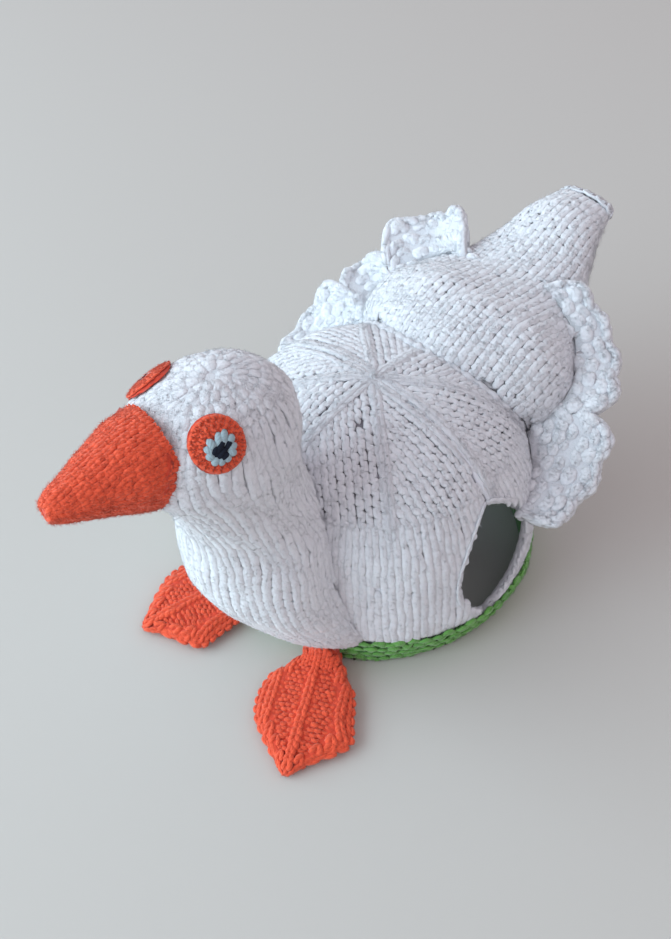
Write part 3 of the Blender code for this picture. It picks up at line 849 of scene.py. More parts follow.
def spun_yarn(name):
    """Twisted plies and stray fibres, with sunk ends painted darker as shade, painted shade in the grooves between
    plies, and tones that differ at random.
    """
    group, given, calc = effect(name, {
        "Plies": 2.0, "Twist": 1.6, "Ply Height": 0.6, "Sunk Ends": 0.8, "Fibre Scale": 900.0, "Fibre Height": 0.5,
        "Light": (1.0, 1.0, 1.0, 1.0), "Shade": (0.6, 0.6, 0.6, 1.0), "Deep": (0.3, 0.3, 0.3, 1.0),
    })
    uv = add_node(group, "ShaderNodeUVMap", uv_map="yarn").outputs["UV"]
    parts = add_node(group, "ShaderNodeSeparateXYZ", {0: uv}).outputs
    along = calc("MULTIPLY", parts["X"], given["Twist"])
    phase = calc("ADD", along, calc("MULTIPLY", parts["Y"], given["Plies"]))
    ply = calc("ABSOLUTE", calc("SINE", calc("MULTIPLY", phase, 2 * math.pi)))
    place = add_node(group, "ShaderNodeTexCoord").outputs["Object"]
    slant = {"X": calc("MULTIPLY", along, 1.1), "Y": calc("MULTIPLY", phase, 5.0)}
    fibre, nap, cloud = (
        add_node(group, "ShaderNodeTexNoise", {"Vector": vector, "Scale": scale, "Detail": detail, "Roughness": rough})
        .outputs["Fac"]
        for vector, scale, detail, rough in (
            (add_node(group, "ShaderNodeCombineXYZ", slant).outputs[0], 1.0, 3.0, 0.7),
            (place, given["Fibre Scale"], 4.0, 0.65),
            (place, 45.0, 2.0, 0.5),
        )
    )
    fuzz = calc("MULTIPLY", calc("ADD", fibre, nap), given["Fibre Height"])
    height = calc("ADD", calc("MULTIPLY", ply, given["Ply Height"]), fuzz)
    tone, end = (add_node(group, "ShaderNodeAttribute", attribute_name=key).outputs["Fac"] for key in ("tone", "end"))
    # painted shade in the grooves between the plies; tone, cloud and nap below add darker tone at random
    groove = calc("MULTIPLY", calc("SUBTRACT", 1.0, ply), given["Ply Height"])
    share = calc("MULTIPLY", groove, 0.30)
    for part, weight in ((tone, 0.25), (cloud, 0.35), (calc("SUBTRACT", nap, 0.5), 0.9)):
        share = calc("ADD", share, calc("MULTIPLY", part, weight))
    tint = mixed(group, share, given["Light"], given["Shade"])
    # painted shade at the sunk ends of each piece of yarn
    sunk = calc("MULTIPLY", calc("POWER", end, 3.0), given["Sunk Ends"])
    colour = mixed(group, sunk, tint, given["Deep"])
    add_node(group, "NodeGroupOutput", {"Height": height, "Colour": colour})
    return group


def purl_ground(name):
    """Rows of purl bumps, for the cloth's wrong side and ground, with painted shade in the hollows between the bumps.
    """
    group, given, calc = effect(
        name, {"Stitch Scale": 180.0, "Light": (1.0, 1.0, 1.0, 1.0), "Shade": (0.6, 0.6, 0.6, 1.0)}
    )
    place = add_node(group, "ShaderNodeTexCoord").outputs["Object"]
    stretch = add_node(group, "ShaderNodeMapping", {"Scale": (1.0, 1.0, 1.7), "Vector": place})
    loops = {"Smoothness": 0.4, "Randomness": 0.35, "Vector": stretch.outputs[0], "Scale": given["Stitch Scale"]}
    bumps = add_node(group, "ShaderNodeTexVoronoi", loops, feature="SMOOTH_F1").outputs["Distance"]
    height = calc("SUBTRACT", 1.0, bumps)
    # painted shade: darker where the bumps are low
    colour = mixed(group, height, given["Shade"], given["Light"])
    add_node(group, "NodeGroupOutput", {"Height": height, "Colour": colour})
    return group


EFFECTS = {"Spun Yarn": spun_yarn, "Purl Ground": purl_ground}
WHITE_WOOL = {"glow": 0.3, "sheen": 0.6, "depth": 0.0005, "strength": 0.85}
WHITE_YARN = {"Fibre Scale": 1000.0, "Fibre Height": 1.3, "Ply Height": 0.15, "Sunk Ends": 0.12}
YARNS = {  # light colour, painted shade for the grooves and painted shade for the sunk ends, each a setting and a gain, the group's values and the wool's
    "white_yarn": (("white", 1.0), ("white_shade", 1.0), ("white_shade", 0.8), WHITE_YARN, WHITE_WOOL),
    "bright_yarn": (("white", 1.0), ("white_shade", 1.0), ("white_shade", 0.8), WHITE_YARN, WHITE_WOOL),
    # painted shade: a darker copy of the white yarn, for the fills seen between stitches
    "under_yarn": (("white", 0.8), ("white_shade", 0.8), ("white_shade", 0.8), WHITE_YARN, WHITE_WOOL),
    "orange_yarn": (
        ("orange", 1.0), ("orange_shade", 1.0), ("orange_shade", 0.6),
        {"Fibre Scale": 1100.0, "Twist": 1.2, "Sunk Ends": 0.9}, {"tint": (1.0, 0.65, 0.55, 1.0)},
    ),
    "green_yarn": (("green", 1.0), ("green_shade", 1.0), ("green_shade", 0.6), {"Sunk Ends": 0.5}, {}),
    "iris_yarn": (("iris", 1.0), ("iris", 0.7), ("iris", 0.2), {}, {}),
    "pupil_yarn": (("pupil", 1.0), ("pupil", 0.6), ("pupil", 0.3), {}, {"sheen": 0.02}),
}
GROUNDS = {  # light and painted shade colours, each a setting and a gain, and the stitches' scale
    # painted shade: the body's ground is dark grey, standing for the shade between the stitches
    "white_ground": (("white_gap_shade", 1.8), ("white_gap_shade", 1.0), 180.0),
    # painted shade: a darker copy of the white, for the tail's ground seen between its stitches
    "grey_ground": (("white", 0.78), ("white", 0.66), 180.0),
    "white_inside": (("white", 1.0), ("white_shade", 1.0), 180.0),
    # painted shade: the orange and green grounds take their yarns' shade colours, for the shade between stitches
    "orange_ground": (("orange_shade", 1.15), ("orange_shade", 1.0), 300.0),
    "green_ground": (("green_shade", 1.2), ("green_shade", 1.0), 180.0),
}


def wool(name, group, values, depth=0.00035, strength=0.6, sheen=0.35, tint=(1, 1, 1, 1), glow=0.0):
    """A woollen finish from one of the shared effects."""
    made = bpy.data.materials.new(name)
    made.use_nodes = True
    tree = made.node_tree
    shared = bpy.data.node_groups.get(group) or EFFECTS[group](group)
    worn = add_node(tree, "ShaderNodeGroup", values, node_tree=shared).outputs
    bump = add_node(tree, "ShaderNodeBump", {"Strength": strength, "Distance": depth, "Height": worn["Height"]})
    feed(tree, tree.nodes["Principled BSDF"], {
        "Base Color": worn["Colour"],
        "Normal": bump.outputs["Normal"],
        "Roughness": 0.92,
        "Specular IOR Level": 0.25,
        "Sheen Weight": sheen,
        "Sheen Roughness": 0.6,
        "Sheen Tint": tint,
        "Subsurface Weight": glow,
        "Subsurface Radius": (1.0, 1.0, 1.0),
        "Subsurface Scale": 0.0025,
    })
    return made


def finish(name):
    """A finish by its name in YARNS or GROUNDS, made once."""
    if name in bpy.data.materials:
        return bpy.data.materials[name]
    row = YARNS.get(name) or GROUNDS[name]
    values = {
        key: (*(gain * channel for channel in getattr(colours(), setting)), 1.0)
        for key, (setting, gain) in zip(("Light", "Shade", "Deep"), row if name in YARNS else row[:2])
    }
    if name in GROUNDS:
        values["Stitch Scale"] = row[2]
        return wool(name, "Purl Ground", values, depth=0.0012, strength=0.8, sheen=0.2)
    return wool(name, "Spun Yarn", {**values, **row[3]}, **row[4])


# ---------------------------------------------------------------- settings


def colour(name, description, default):
    return bpy.props.FloatVectorProperty(name=name, description=description, default=default, subtype="COLOR")


def length(name, description, default):
    return bpy.props.FloatProperty(name=name, description=description, default=default, unit="LENGTH")


class CosyColours(bpy.types.PropertyGroup):
    """The yarns' colours and their painted shades."""

    white: colour("White", "The goose's white yarn", (0.865, 0.90, 0.955))
    # painted shade: the white yarn's colour in its grooves, hollows and sunk ends, also mixed in as random tone
    white_shade: colour("White shade", "The white yarn in its grooves", (0.765, 0.78, 0.845))
    # painted shade: the white cloth between stitches, coloured dark grey for the shade there
    white_gap_shade: colour("White ground", "The white cloth seen between stitches", (0.15, 0.15, 0.17))
    orange: colour("Orange", "The beak, eyes and feet", (0.90, 0.115, 0.045))
    # painted shade: the orange yarn's colour in its grooves, hollows and sunk ends
    orange_shade: colour("Orange shade", "The orange yarn in its grooves", (0.60, 0.052, 0.021))
    green: colour("Green", "The border", (0.175, 0.47, 0.09))
    # painted shade: the green yarn's colour in its grooves, hollows and sunk ends
    green_shade: colour("Green shade", "The border in its grooves", (0.065, 0.25, 0.045))
    iris: colour("Iris", "The pale embroidery of the eyes", (0.34, 0.46, 0.51))
    pupil: colour("Pupil", "The dark embroidery of the eyes", (0.008, 0.012, 0.025))
    floor: colour("Floor", "The pale floor", (0.535, 0.525, 0.492))


class CosyGauge(bpy.types.PropertyGroup):
    """The knitting's sizes."""

    body_row: length("Body row", "Height of one row of the body", 0.0057)
    crown_row: length("Crown row", "Height of one row of the crown", 0.0052)
    crown_stitch: length("Crown stitch", "Width of one stitch of the crown", 0.0074)
    head_row: length("Head row", "Height of one row of the neck and head", 0.0058)
    tail_row: length("Tail row", "Height of one row of the tail", 0.0058)
    tail_stitch: length("Tail stitch", "Width of one stitch of the tail", 0.0086)
    fine_row: length("Fine row", "Height of one row of the orange yarn", 0.0031)
    fine_stitch: length("Fine stitch", "Width of one stitch of the orange yarn", 0.0042)
    white_yarn: length("White yarn", "Half the white yarn's width", 0.00182)
    fine_yarn: length("Fine yarn", "Half the orange yarn's width", 0.00102)
    green_yarn: length("Green yarn", "Half the green yarn's width", 0.00155)
    ruffle_yarn: length("Ruffle yarn", "Half the width of the ruffle's yarn", 0.00215)


def colours():
    return bpy.context.scene.cosy_colours


def gauge():
    return bpy.context.scene.cosy_gauge


# ---------------------------------------------------------------- body


HEM_RADIUS = DOME_PROFILE[0][1]
RIDGE_AZIMUTHS = (-138, -90, -42, 42, 90, 138)
RIDGE_STITCH, RIDGE_ROW = 0.0044, 0.0052
SHAPING_HEIGHT = 0.0985  # the ribs end here, and the crown's decreases begin
WHITE_EDGE = 1.05  # rows of the body up to the border's top
BODY_NEIGHBOURS = ("neck_head", "tail", "ruffle_left", "ruffle_right")
RIM, RIM_SUNK = 0.0015, 0.0010  # the curl of an opening's edge, and how deep it lies
RIM_YARN = 0.0016  # half a strand's width, and the distance between its rings
RIM_TURNS = (0.2 * math.pi, 0.5 * math.pi, 0.8 * math.pi)
RIM_BEAT = 0.0054  # from one swelling of a strand to the next
EYELETS = (
    (0.0050, -0.0118, 0.1255),
    (0.0112, -0.0172, 0.1244),
    (0.0145, -0.0256, 0.1226),
    (0.0533, -0.0565, 0.0649),
)


def every_one(k, row):
    return k == k


def wedge_place(key, pitch, row_height):
    """Wales beside a wedge's high edge, of one width from the hem to the crown."""
    return DOME.placing(
        row_height, lambda k, way: dome_point(key + k * pitch / np.clip(DOME.at(way)[1], 0.003, HEM_RADIUS), way)
    )


def knit_wedges(knitting, node, low_side):
    """The stitches of one half: straight ribs below, and above them, in each wedge, wales beside its high edge."""
    lower, upper, pitch = gauge().body_row, gauge().crown_row, gauge().crown_stitch
    change = way_at(SHAPING_HEIGHT)
    for low, high, wales in WEDGES:
        if (high <= 0) != low_side:
            continue
        key, width = math.radians(high), math.radians(high - low)
        step = width / wales
        knitting.wales(
            DOME.placing(lower, lambda k, way: dome_point(key + k * step, way)), -np.arange(wales) - 0.5,
            np.arange(WHITE_EDGE, change / lower - 0.2), every_one, node,
            yarn=lambda row: 0.35 * step * DOME.at(np.maximum(row, 0) * lower)[1],
            swing=lambda row: 0.016 + 0.02 * ramp(row * lower, change - 0.020, change),
            clear_of=BODY_NEIGHBOURS, within=0.003, flat=0.38, wobble=0.06,
            early=lambda k: 0.30 + 0.55 * by_handle(key + k * step),
        )
        knitting.wales(
            wedge_place(key, pitch, upper), -np.arange(wales + 2) - 0.5,
            np.arange(change / upper - 0.45, DOME.length / upper - 1),
            lambda k, row: (-k + 0.02) * pitch <= width * np.minimum(DOME.at((row + 0.5) * upper)[1], HEM_RADIUS),
            node, yarn=0.305 * pitch, swing=0.080, clear_of=BODY_NEIGHBOURS, flat=0.40, wobble=0.035,
        )


def knit_ridges(knitting, node, low_side):
    """A raised band where the crown's wedges meet, and one beside each side seam."""
    last = np.interp(-0.0015, -DOME.rows[:, 1], DOME.way)
    bands = [(azimuth, 0.0, SHAPING_HEIGHT - 0.003) for azimuth in RIDGE_AZIMUTHS if (azimuth < 0) == low_side]
    seams = ((0, -0.3), (-180, 0.3)) if low_side else ((0, 0.75), (180, -0.75))
    bands += [(*seam, opening[1]) for seam, opening in zip(seams, (HANDLE_OPENING, SPOUT_OPENING))]
    for azimuth, aside, bottom in bands:
        knitting.wales(
            wedge_place(math.radians(azimuth), RIDGE_STITCH, RIDGE_ROW), [aside],
            np.arange(way_at(bottom) / RIDGE_ROW, last / RIDGE_ROW), every_one, node, yarn=RIDGE_STITCH * 0.43,
            swing=0.030, clear_of=("neck_head", "tail"), within=0.004, sink=0.0006, middle=0.22, flat=0.36,
        )


def rim_run(opening, drawn, spout):
    """An opening's edge, evenly by its length: its length, points, ways into the opening and outward normals."""
    ends = way_at(opening[0]), way_at(opening[1])
    ways = ends[0] + (ends[1] - ends[0]) * (0.5 - 0.5 * np.cos(np.linspace(0.0, math.pi, 800)))
    height, radius = DOME.at(ways)
    share = np.clip((height - opening[0]) / (opening[1] - opening[0]), 0.0, 1.0)
    reach = drawn * np.sin(math.pi * share) ** 0.75 - dome_middle(height) + SHIFT_Y
    angle = np.arcsin(np.clip(reach / radius, -0.98, 0.98))
    angle = math.pi - angle if spout else angle
    points = dome_point(angle, ways)
    normals = unit(points - dome_point(angle, ways, 0.001))
    inward = unit(np.cross(unit(np.gradient(points, axis=0)), normals))
    middle = dome_point(np.array([math.pi if spout else 0.0]), np.array([sum(ends) / 2]))
    inward = inward * np.sign(((middle - points) * inward).sum())
    arc = np.concatenate([[0.0], np.cumsum(np.linalg.norm(np.diff(points, axis=0), axis=1))])
    even = np.linspace(0.0, arc[-1], 400)
    return even, *read_along(even, arc, points, inward, normals)


def knit_rims(knitting, side):
    """The curled edges of the two side openings, each three strands that run round it."""
    for opening, spout in ((HANDLE_OPENING, False), (SPOUT_OPENING, True)):
        arc, *parts = rim_run(opening, side * opening[2 if side < 0 else 3], spout)
        way = np.linspace(0.0, arc[-1], int(arc[-1] / RIM_YARN))
        edge, toward, out = read_along(way, arc, *parts)
        for turn in RIM_TURNS:
            wander = knitting.random.normal(0.0, 0.00018, (len(way), 1))
            deep = RIM - RIM * math.cos(turn) + RIM_SUNK
            points = edge + toward * (RIM * math.sin(turn) - RIM + wander) - out * deep
            widths = RIM_YARN * (1.0 + 0.16 * np.sin(way * 2 * math.pi / RIM_BEAT + 3 * turn))
            knitting.strands(points, unit(toward * math.sin(turn) + out * math.cos(turn)), widths, flat=0.5)


def dome_outward(place):
    """Outward from the dome's middle line, at a point of it."""
    return Vector((place.x, place.y - dome_middle(place.z), max(0.0, place.z - 0.055))).normalized()


class GOOSE_OT_body(bpy.types.Operator):
    """Knits the body's two halves, with their ridges, seams and opening edges"""

    bl_idname = "goose_cosy.body"
    bl_label = "Body"

    def execute(self, context):
        for seed, (node, side, area) in enumerate((("body_front", -1.0, 0.0255), ("body_back", 1.0, 0.0272))):
            # the cloth's outer face is painted dark as the shade between the stitches, except where it is pale
            cloth = ground(
                node, "cloth", 0.0017, finish("white_ground"), outward=dome_outward,
                inside=finish("white_inside"),
            )
            knitting = Knitting(seed, eyelets=EYELETS)
            knit_wedges(knitting, node, side < 0)
            knit_ridges(knitting, node, side < 0)
            knit_rims(knitting, side)
            knitting.fuzz(8000, 0.0028)
            stitches = knitting.make(f"{node}_stitches", finish("white_yarn"))
        return {"FINISHED"}


# ---------------------------------------------------------------- border


BORDER_WALES = 84
SMILE = tuple((across, -along, lift, share) for across, along, lift, share in PURL)


def border_place(k, row):
    """k counts the wales round the border, and row its ridges."""
    height = np.maximum(row * BORDER_TOP / BORDER_RIDGES, 0.0)
    radius = BORDER_RADIUS + 0.0009 * (0.5 - 0.5 * np.cos(2 * math.pi * row))
    angle = k * 2 * math.pi / BORDER_WALES
    y = dome_middle(height) + radius * np.sin(angle)
    return np.stack([radius * np.cos(angle), y, np.maximum(height, 0.0012)], axis=-1)


def knit_border(knitting):
    """Garter ridges, each a row of purl bumps with a sunk row below it, and one row more on the body above."""
    k, row = lattice(np.arange(BORDER_WALES), np.arange(BORDER_RIDGES + 1) + 0.42)
    blockers = ("neck_head", "foot_left", "foot_right")
    kept, out = kept_stitches("hem_border", border_place, k, row - 0.4, blockers, 0.003)
    for node in ("body_front", "body_back"):
        kept |= (row > BORDER_RIDGES) & kept_stitches(node, border_place, k, row - 0.1, blockers, 0.002)[0]
    k, row = k[kept], row[kept]
    k, yarn = k + 0.5 * (np.round(row) % 2), gauge().green_yarn
    knitting.add(border_place, k, row, PURL, yarn * 1.1, out=out, sink=0.0002, wobble=0.13)
    knitting.add(border_place, k + 0.5, row - 0.25, SMILE, yarn, out=out, sink=0.0004, wobble=0.13)
    knitting.fuzz(5000, 0.0026)


def border_outward(place):
    return Vector((place.x, place.y - HEM_CENTRE_Y, 0.0)).normalized()


class GOOSE_OT_border(bpy.types.Operator):
    """Knits the green border in garter ridges"""

    bl_idname = "goose_cosy.border"
    bl_label = "Border"

    def execute(self, context):
        cloth = ground(
            "hem_border", "cloth", 0.0009, finish("green_ground"), 0.0, border_outward, shape=(tuck_border,)
        )
        knitting = Knitting(11, uneven=0.0)
        knit_border(knitting)
        stitches = knitting.make("hem_border_stitches", finish("green_yarn"), shape=(tuck_border,))
        return {"FINISHED"}


# ---------------------------------------------------------------- neck and head


HEAD_WALES = 26
NECK_TOP = 0.105
HEAD_PITCH = 0.0079  # below the neck's top, wales are added to keep them this wide
CROWN_BASE = 0.16
CROWN_PITCH = 0.0062  # above the crown's base, the rows on their own begin where the wales get this narrow


def head_wales(way):
    """How many wales go round the neck at a way up it."""
    height, _, *oval = HEAD.at(way)
    return np.where(height < NECK_TOP, np.maximum(HEAD_WALES, oval_round(*oval) / HEAD_PITCH), HEAD_WALES)


def head_place(row_height, wales=None):
    def place(k, row):
        way = np.clip(row * row_height, 0.0, HEAD.length)
        count = head_wales(way) if wales is None else wales
        sway = 0.10 * np.sin(row * 0.8 + k * 1.9) * ramp(way, 0.02, 0.10)
        return head_point(-math.pi / 2 + (k + sway) * 2 * math.pi / count, way)

    return place


def knit_head(knitting):
    """Wales from the hem up to the crown of the head, and single rows of plain stitches over it."""
    row_height = gauge().head_row
    rows = np.arange(int(HEAD.length / row_height))
    height, _, *oval = HEAD.at((rows + 0.5) * row_height)
    round_ = oval_round(*oval)
    crown = (height > CROWN_BASE) & (round_ / HEAD_WALES < CROWN_PITCH)
    skin_of = {"node": "neck_head", "clear_of": ("body_front", "beak", "eye_left", "eye_right")}

    def yarn(row):
        way = (row + 0.4) * row_height
        return 0.345 * oval_round(*HEAD.at(way)[2:]) / head_wales(way)

    knitting.wales(
        head_place(row_height), np.arange(-18, 18) + 0.5, rows[~crown],
        lambda k, row: np.abs(k) + 0.45 <= head_wales((row + 0.5) * row_height) / 2, yarn=yarn,
        swing=lambda row: 0.042 - 0.030 * ramp(row * row_height, 0.06, 0.10),
        flat=0.34, wobble=0.05, sink=0.0011, **skin_of,
    )
    for number in rows[crown]:
        wales = max(5, int(round_[number] / CROWN_PITCH))
        k, row = lattice(np.arange(wales) + 0.5 * (number % 2), [number])
        knitting.plain(
            head_place(row_height, wales), k, row, 0.40 * round_[number] / wales,
            spread=0.4, sink=0.0013, flat=0.26, wobble=0.06, **skin_of,
        )


class GOOSE_OT_head(bpy.types.Operator):
    """Knits the stuffed breast, neck and head"""

    bl_idname = "goose_cosy.head"
    bl_label = "Neck and Head"

    def execute(self, context):
        # the fill under the stitches is painted darker as shade
        ground("neck_head", "fill", 0.0013, finish("under_yarn"))
        knitting = Knitting(21)
        knit_head(knitting)
        knitting.fuzz(9000, 0.0022)
        knitting.make("neck_head_stitches", finish("white_yarn"))
        return {"FINISHED"}


# ---------------------------------------------------------------- beak


def cone_wales(point, run, pitch, row_height):
    """The place, columns and fit of the wales over a stuffed cone's two faces, then down its two sides."""
    for key in (0.0, math.pi):
        place = run.placing(row_height, lambda k, way: point(key, k * pitch, way))
        yield place, np.arange(-12, 12) + 0.5, lambda k, row: (
            (np.abs(k) + 0.1) * pitch <= oval_round(*run.at((row + 0.5) * row_height)[-2:]) / 4
        )
    for key in (math.pi / 2, -math.pi / 2):
        place = run.placing(
            row_height, lambda k, way: point(key + k * pitch / np.maximum(run.at(way)[-1], 0.003), 0.0 * k, way)
        )
        yield place, [0.0], every_one


class GOOSE_OT_beak(bpy.types.Operator):
    """Knits the stuffed beak"""

    bl_idname = "goose_cosy.beak"
    bl_label = "Beak"

    def execute(self, context):
        pitch, row_height = gauge().fine_stitch, gauge().fine_row
        fill = ground("beak", "fill", 0.0022, finish("orange_ground"), 0.5, shape=(blunt_beak,))
        knitting = Knitting(31, uneven=0.5)
        for place, columns, fits in cone_wales(beak_point, BEAK, pitch, row_height):
            k, row = lattice(columns, range(int(BEAK.length / row_height) - 1))
            kept, spread = fits(k, row), 0.8 if len(columns) > 1 else 1.0
            knitting.plain(
                place, k[kept], row[kept], pitch * 0.30, "beak", spread=spread, sink=0.0013, flat=0.55, wobble=0.06
            )
        knitting.fuzz(9000, 0.0022, 0.00010)
        knitting.make("beak_stitches", finish("orange_yarn"))
        return {"FINISHED"}


# ---------------------------------------------------------------- eyes


EYE_STITCH, EYE_ROW = 0.0027, 0.0026
EMBROIDERY_SWELL = (0.5, 0.85, 1.0, 1.0, 1.0, 0.85, 0.5)  # a stitch's width along it
IRIS = (  # ends of the stitches, across to the beak's far side and up from the eye's middle
    ((0.0008, -0.0016), (0.0038, 0.0042)),
    ((0.0000, -0.0018), (0.0012, 0.0040)),
    ((-0.0014, -0.0016), (-0.0032, 0.0026)),
    ((-0.0022, -0.0026), (-0.0052, 0.0000)),
    ((-0.0024, -0.0036), (-0.0054, -0.0034)),
    ((-0.0016, -0.0042), (-0.0036, -0.0068)),
    ((-0.0002, -0.0044), (-0.0008, -0.0076)),
    ((0.0012, -0.0042), (0.0022, -0.0070)),
    ((0.0024, -0.0034), (0.0054, -0.0050)),
    ((0.0026, -0.0024), (0.0064, -0.0020)),
    ((0.0026, -0.0014), (0.0062, 0.0016)),
)
PUPIL = (
    ((-0.0030, -0.0046), (0.0034, 0.0020)),
    ((-0.0020, -0.0052), (0.0026, -0.0018)),
    ((-0.0034, -0.0034), (-0.0006, -0.0006)),
    ((-0.0012, -0.0056), (0.0030, -0.0040)),
    ((0.0022, -0.0026), (0.0050, 0.0004)),
)


def eye_place(side, spread, turn):
    """Points on an eye's domed face: spread from its middle, and the angle round it."""
    level = math.cos(EYE_ELEVATION)
    toward = np.array((
        side * level * math.cos(EYE_AZIMUTH), level * math.sin(EYE_AZIMUTH), math.sin(EYE_ELEVATION)
    ))
    oval = np.array(HEAD_OVAL)
    root = np.array(HEAD_MIDDLE) + toward / np.linalg.norm(toward / oval)
    out = unit(toward / oval**2)
    up = unit(np.array([0.0, 0.0, 1.0]) - out * out[2])
    spread, turn = (part[..., None] for part in np.broadcast_arrays(spread, turn))
    drop = EYE_CURVE - np.sqrt(EYE_CURVE**2 - spread**2)
    return turned(
        root + spread * (np.cos(turn) * np.cross(up, out) + np.sin(turn) * up) + out * (EYE_RISE - drop)
    )


def embroider(strands, side, ends, width, lift):
    """Straight stitches between two points of the eye's face, in metres across and up."""
    ends = np.array(ends, float)
    share = np.linspace(0.0, 1.0, len(EMBROIDERY_SWELL))[None, :, None]
    flat = ends[:, :1] * (1 - share) + ends[:, 1:] * share
    points = eye_place(side, np.linalg.norm(flat, axis=-1), np.arctan2(flat[..., 1], side * flat[..., 0]))
    rim = eye_place(side, np.full(3, 0.008), np.array([0.0, 2.1, 4.2]))
    normal = unit(np.cross(rim[1] - rim[0], rim[2] - rim[0]))
    points = points + normal * (np.sin(math.pi * share) ** 0.6 * 0.0007 - 0.0004 + lift)
    strands.strands(points, normal, np.array(EMBROIDERY_SWELL) * width, flat=0.6)


def knit_eye(knitting, side):
    """Three rings of plain stitches."""
    for ring, radius in enumerate((0.0091, 0.0068, 0.0045)):
        count = int(2 * math.pi * radius / EYE_ROW)

        def place(k, row, radius=radius, count=count):
            return eye_place(side, np.clip(radius - side * k * EYE_STITCH, 0.0, 0.0125), row * 2 * math.pi / count)

        k, row = lattice([0.0], np.arange(count) + 0.3 * ring)
        knitting.plain(place, k, row, gauge().fine_yarn * 0.85, sink=-0.0002, wobble=0.06)
    knitting.fuzz(1500, 0.0016, 0.00010)


class GOOSE_OT_eyes(bpy.types.Operator):
    """Knits the two eye discs and embroiders the iris and pupil on them"""

    bl_idname = "goose_cosy.eyes"
    bl_label = "Eyes"

    def execute(self, context):
        for seed, (node, side) in enumerate((("eye_left", 1.0), ("eye_right", -1.0))):
            cloth = ground(node, "cloth", 0.0003, finish("orange_ground"), 0.0)
            knitting = Knitting(41 + seed, uneven=0.0)
            knit_eye(knitting, side)
            made = [knitting.make(f"{node}_stitches", finish("orange_yarn"))]
            for part, ends, width, lift in (("iris", IRIS, 0.00150, 0.0003), ("pupil", PUPIL, 0.00110, 0.0007)):
                strands = Knitting(51 + seed)
                embroider(strands, side, ends, width, lift if side > 0 else lift - 0.0009)
                made.append(strands.make(f"{node}_{part}", finish(f"{part}_yarn"), sides=8))
        return {"FINISHED"}


# ---------------------------------------------------------------- feet


RIB_PLACE = 0.72  # how far out the side ribs lie, as a share of the pad's half width
LEG_END, BUMPS_START, EDGE_START = 0.030, 0.026, 0.036  # along the foot
BUMP_PITCH, BUMP_ROW, BUMP_YARN = 0.0030, 0.0023, 0.00112
EDGE_ROW, EDGE_BUMP = 0.0034, 0.0047  # from one loop of the edge to the next, and from one bump to the next
FOOT_NEIGHBOURS = ("body_front", "neck_head", "hem_border")


def pad_place(foot, face, pitch, row_height):
    """Stitches over one face of the pad, of one width along it."""
    return FOOT.placing(
        row_height, lambda k, way: foot_point(foot, -face * k * pitch / np.maximum(FOOT.at(way)[2], 0.002), face, way)
    )


def knit_foot(knitting, foot):
    """Purl ground with three ribs of plain stitches, and a plain leg."""
    row_height, pitch, yarn = gauge().fine_row, gauge().fine_stitch, gauge().fine_yarn
    for face in (1.0, -1.0):
        k, row = lattice(np.arange(-6, 7), np.arange(int(FOOT.length / row_height)))
        way = (row + 0.5) * row_height
        wide, aside = FOOT.at(way)[2], np.abs(k) * pitch
        rib = (np.abs(k) < 0.5) | (np.abs(aside / wide - RIB_PLACE) * wide < pitch * 0.5)
        plain = (np.abs(k) + 0.6) * pitch <= wide
        plain &= (way < LEG_END) | rib if face > 0 else way < LEG_END
        knitting.plain(
            pad_place(foot, face, pitch, row_height), k[plain], row[plain], yarn * 1.15, foot[0], FOOT_NEIGHBOURS,
            0.003, sink=-0.0004, flat=0.72, spread=1.5, wobble=0.05,
        )
        k, row = lattice(np.arange(-8, 9), np.arange(BUMPS_START / BUMP_ROW, FOOT.length / BUMP_ROW))
        k = k + 0.5 * (np.round(row) % 2)
        wide, aside = FOOT.at((row + 0.5) * BUMP_ROW)[2], np.abs(k) * BUMP_PITCH
        rib = (aside < 0.0017) | (np.abs(aside - RIB_PLACE * wide) < 0.0014)
        fits = (aside + 0.3 * BUMP_PITCH <= wide) & ~(rib & (face > 0))
        place, k, row = pad_place(foot, face, BUMP_PITCH, BUMP_ROW), k[fits], row[fits]
        kept, out = kept_stitches(foot[0], place, k, row, FOOT_NEIGHBOURS, 0.003)
        knitting.add(place, k[kept], row[kept] + 0.3, PURL, BUMP_YARN, out=out, sink=0.0004, flat=0.62, wobble=0.12)


def knit_foot_edge(knitting, foot):
    """Loops along both edges of the pad, small bumps outside them, and a strand at the toe."""
    yarn, up = gauge().fine_yarn, (0.0, 0.0, 1.0)
    for edge in (1.0, -1.0):
        k, row = lattice([0.1], np.arange(EDGE_START, FOOT.length - 0.001, EDGE_ROW) / EDGE_ROW)
        place = FOOT.placing(EDGE_ROW, lambda k, way: foot_rim(foot, edge, way, 0.5 + k * 0.5))
        knitting.plain(place, k, row, yarn * 1.15, foot[0], within=0.003, sink=-0.0002)
        ways = np.arange(EDGE_START + 0.004, FOOT.length - 0.004, EDGE_BUMP)[:, None]
        turns = np.linspace(0.1, math.pi - 0.1, 7)[None, :]
        past = 0.0013 * np.sin(turns) - 0.0007
        points = foot_rim(foot, edge, ways + 0.0017 * np.cos(turns), 0.25 + 0 * turns, past)
        knitting.strands(points, up, yarn * (0.7 + 0.45 * np.sin(turns)), flat=1.0)
    way = np.linspace(FOOT.length - 0.0075, FOOT.length - 0.0004, 7)
    points = foot_point(foot, 0.0 * way, 1.0, way) - (0.0, 0.0, 0.0006)
    knitting.strands(points, up, yarn * np.linspace(1.5, 1.0, 7), flat=1.0)
    knitting.fuzz(5000, 0.0020, 0.00010)


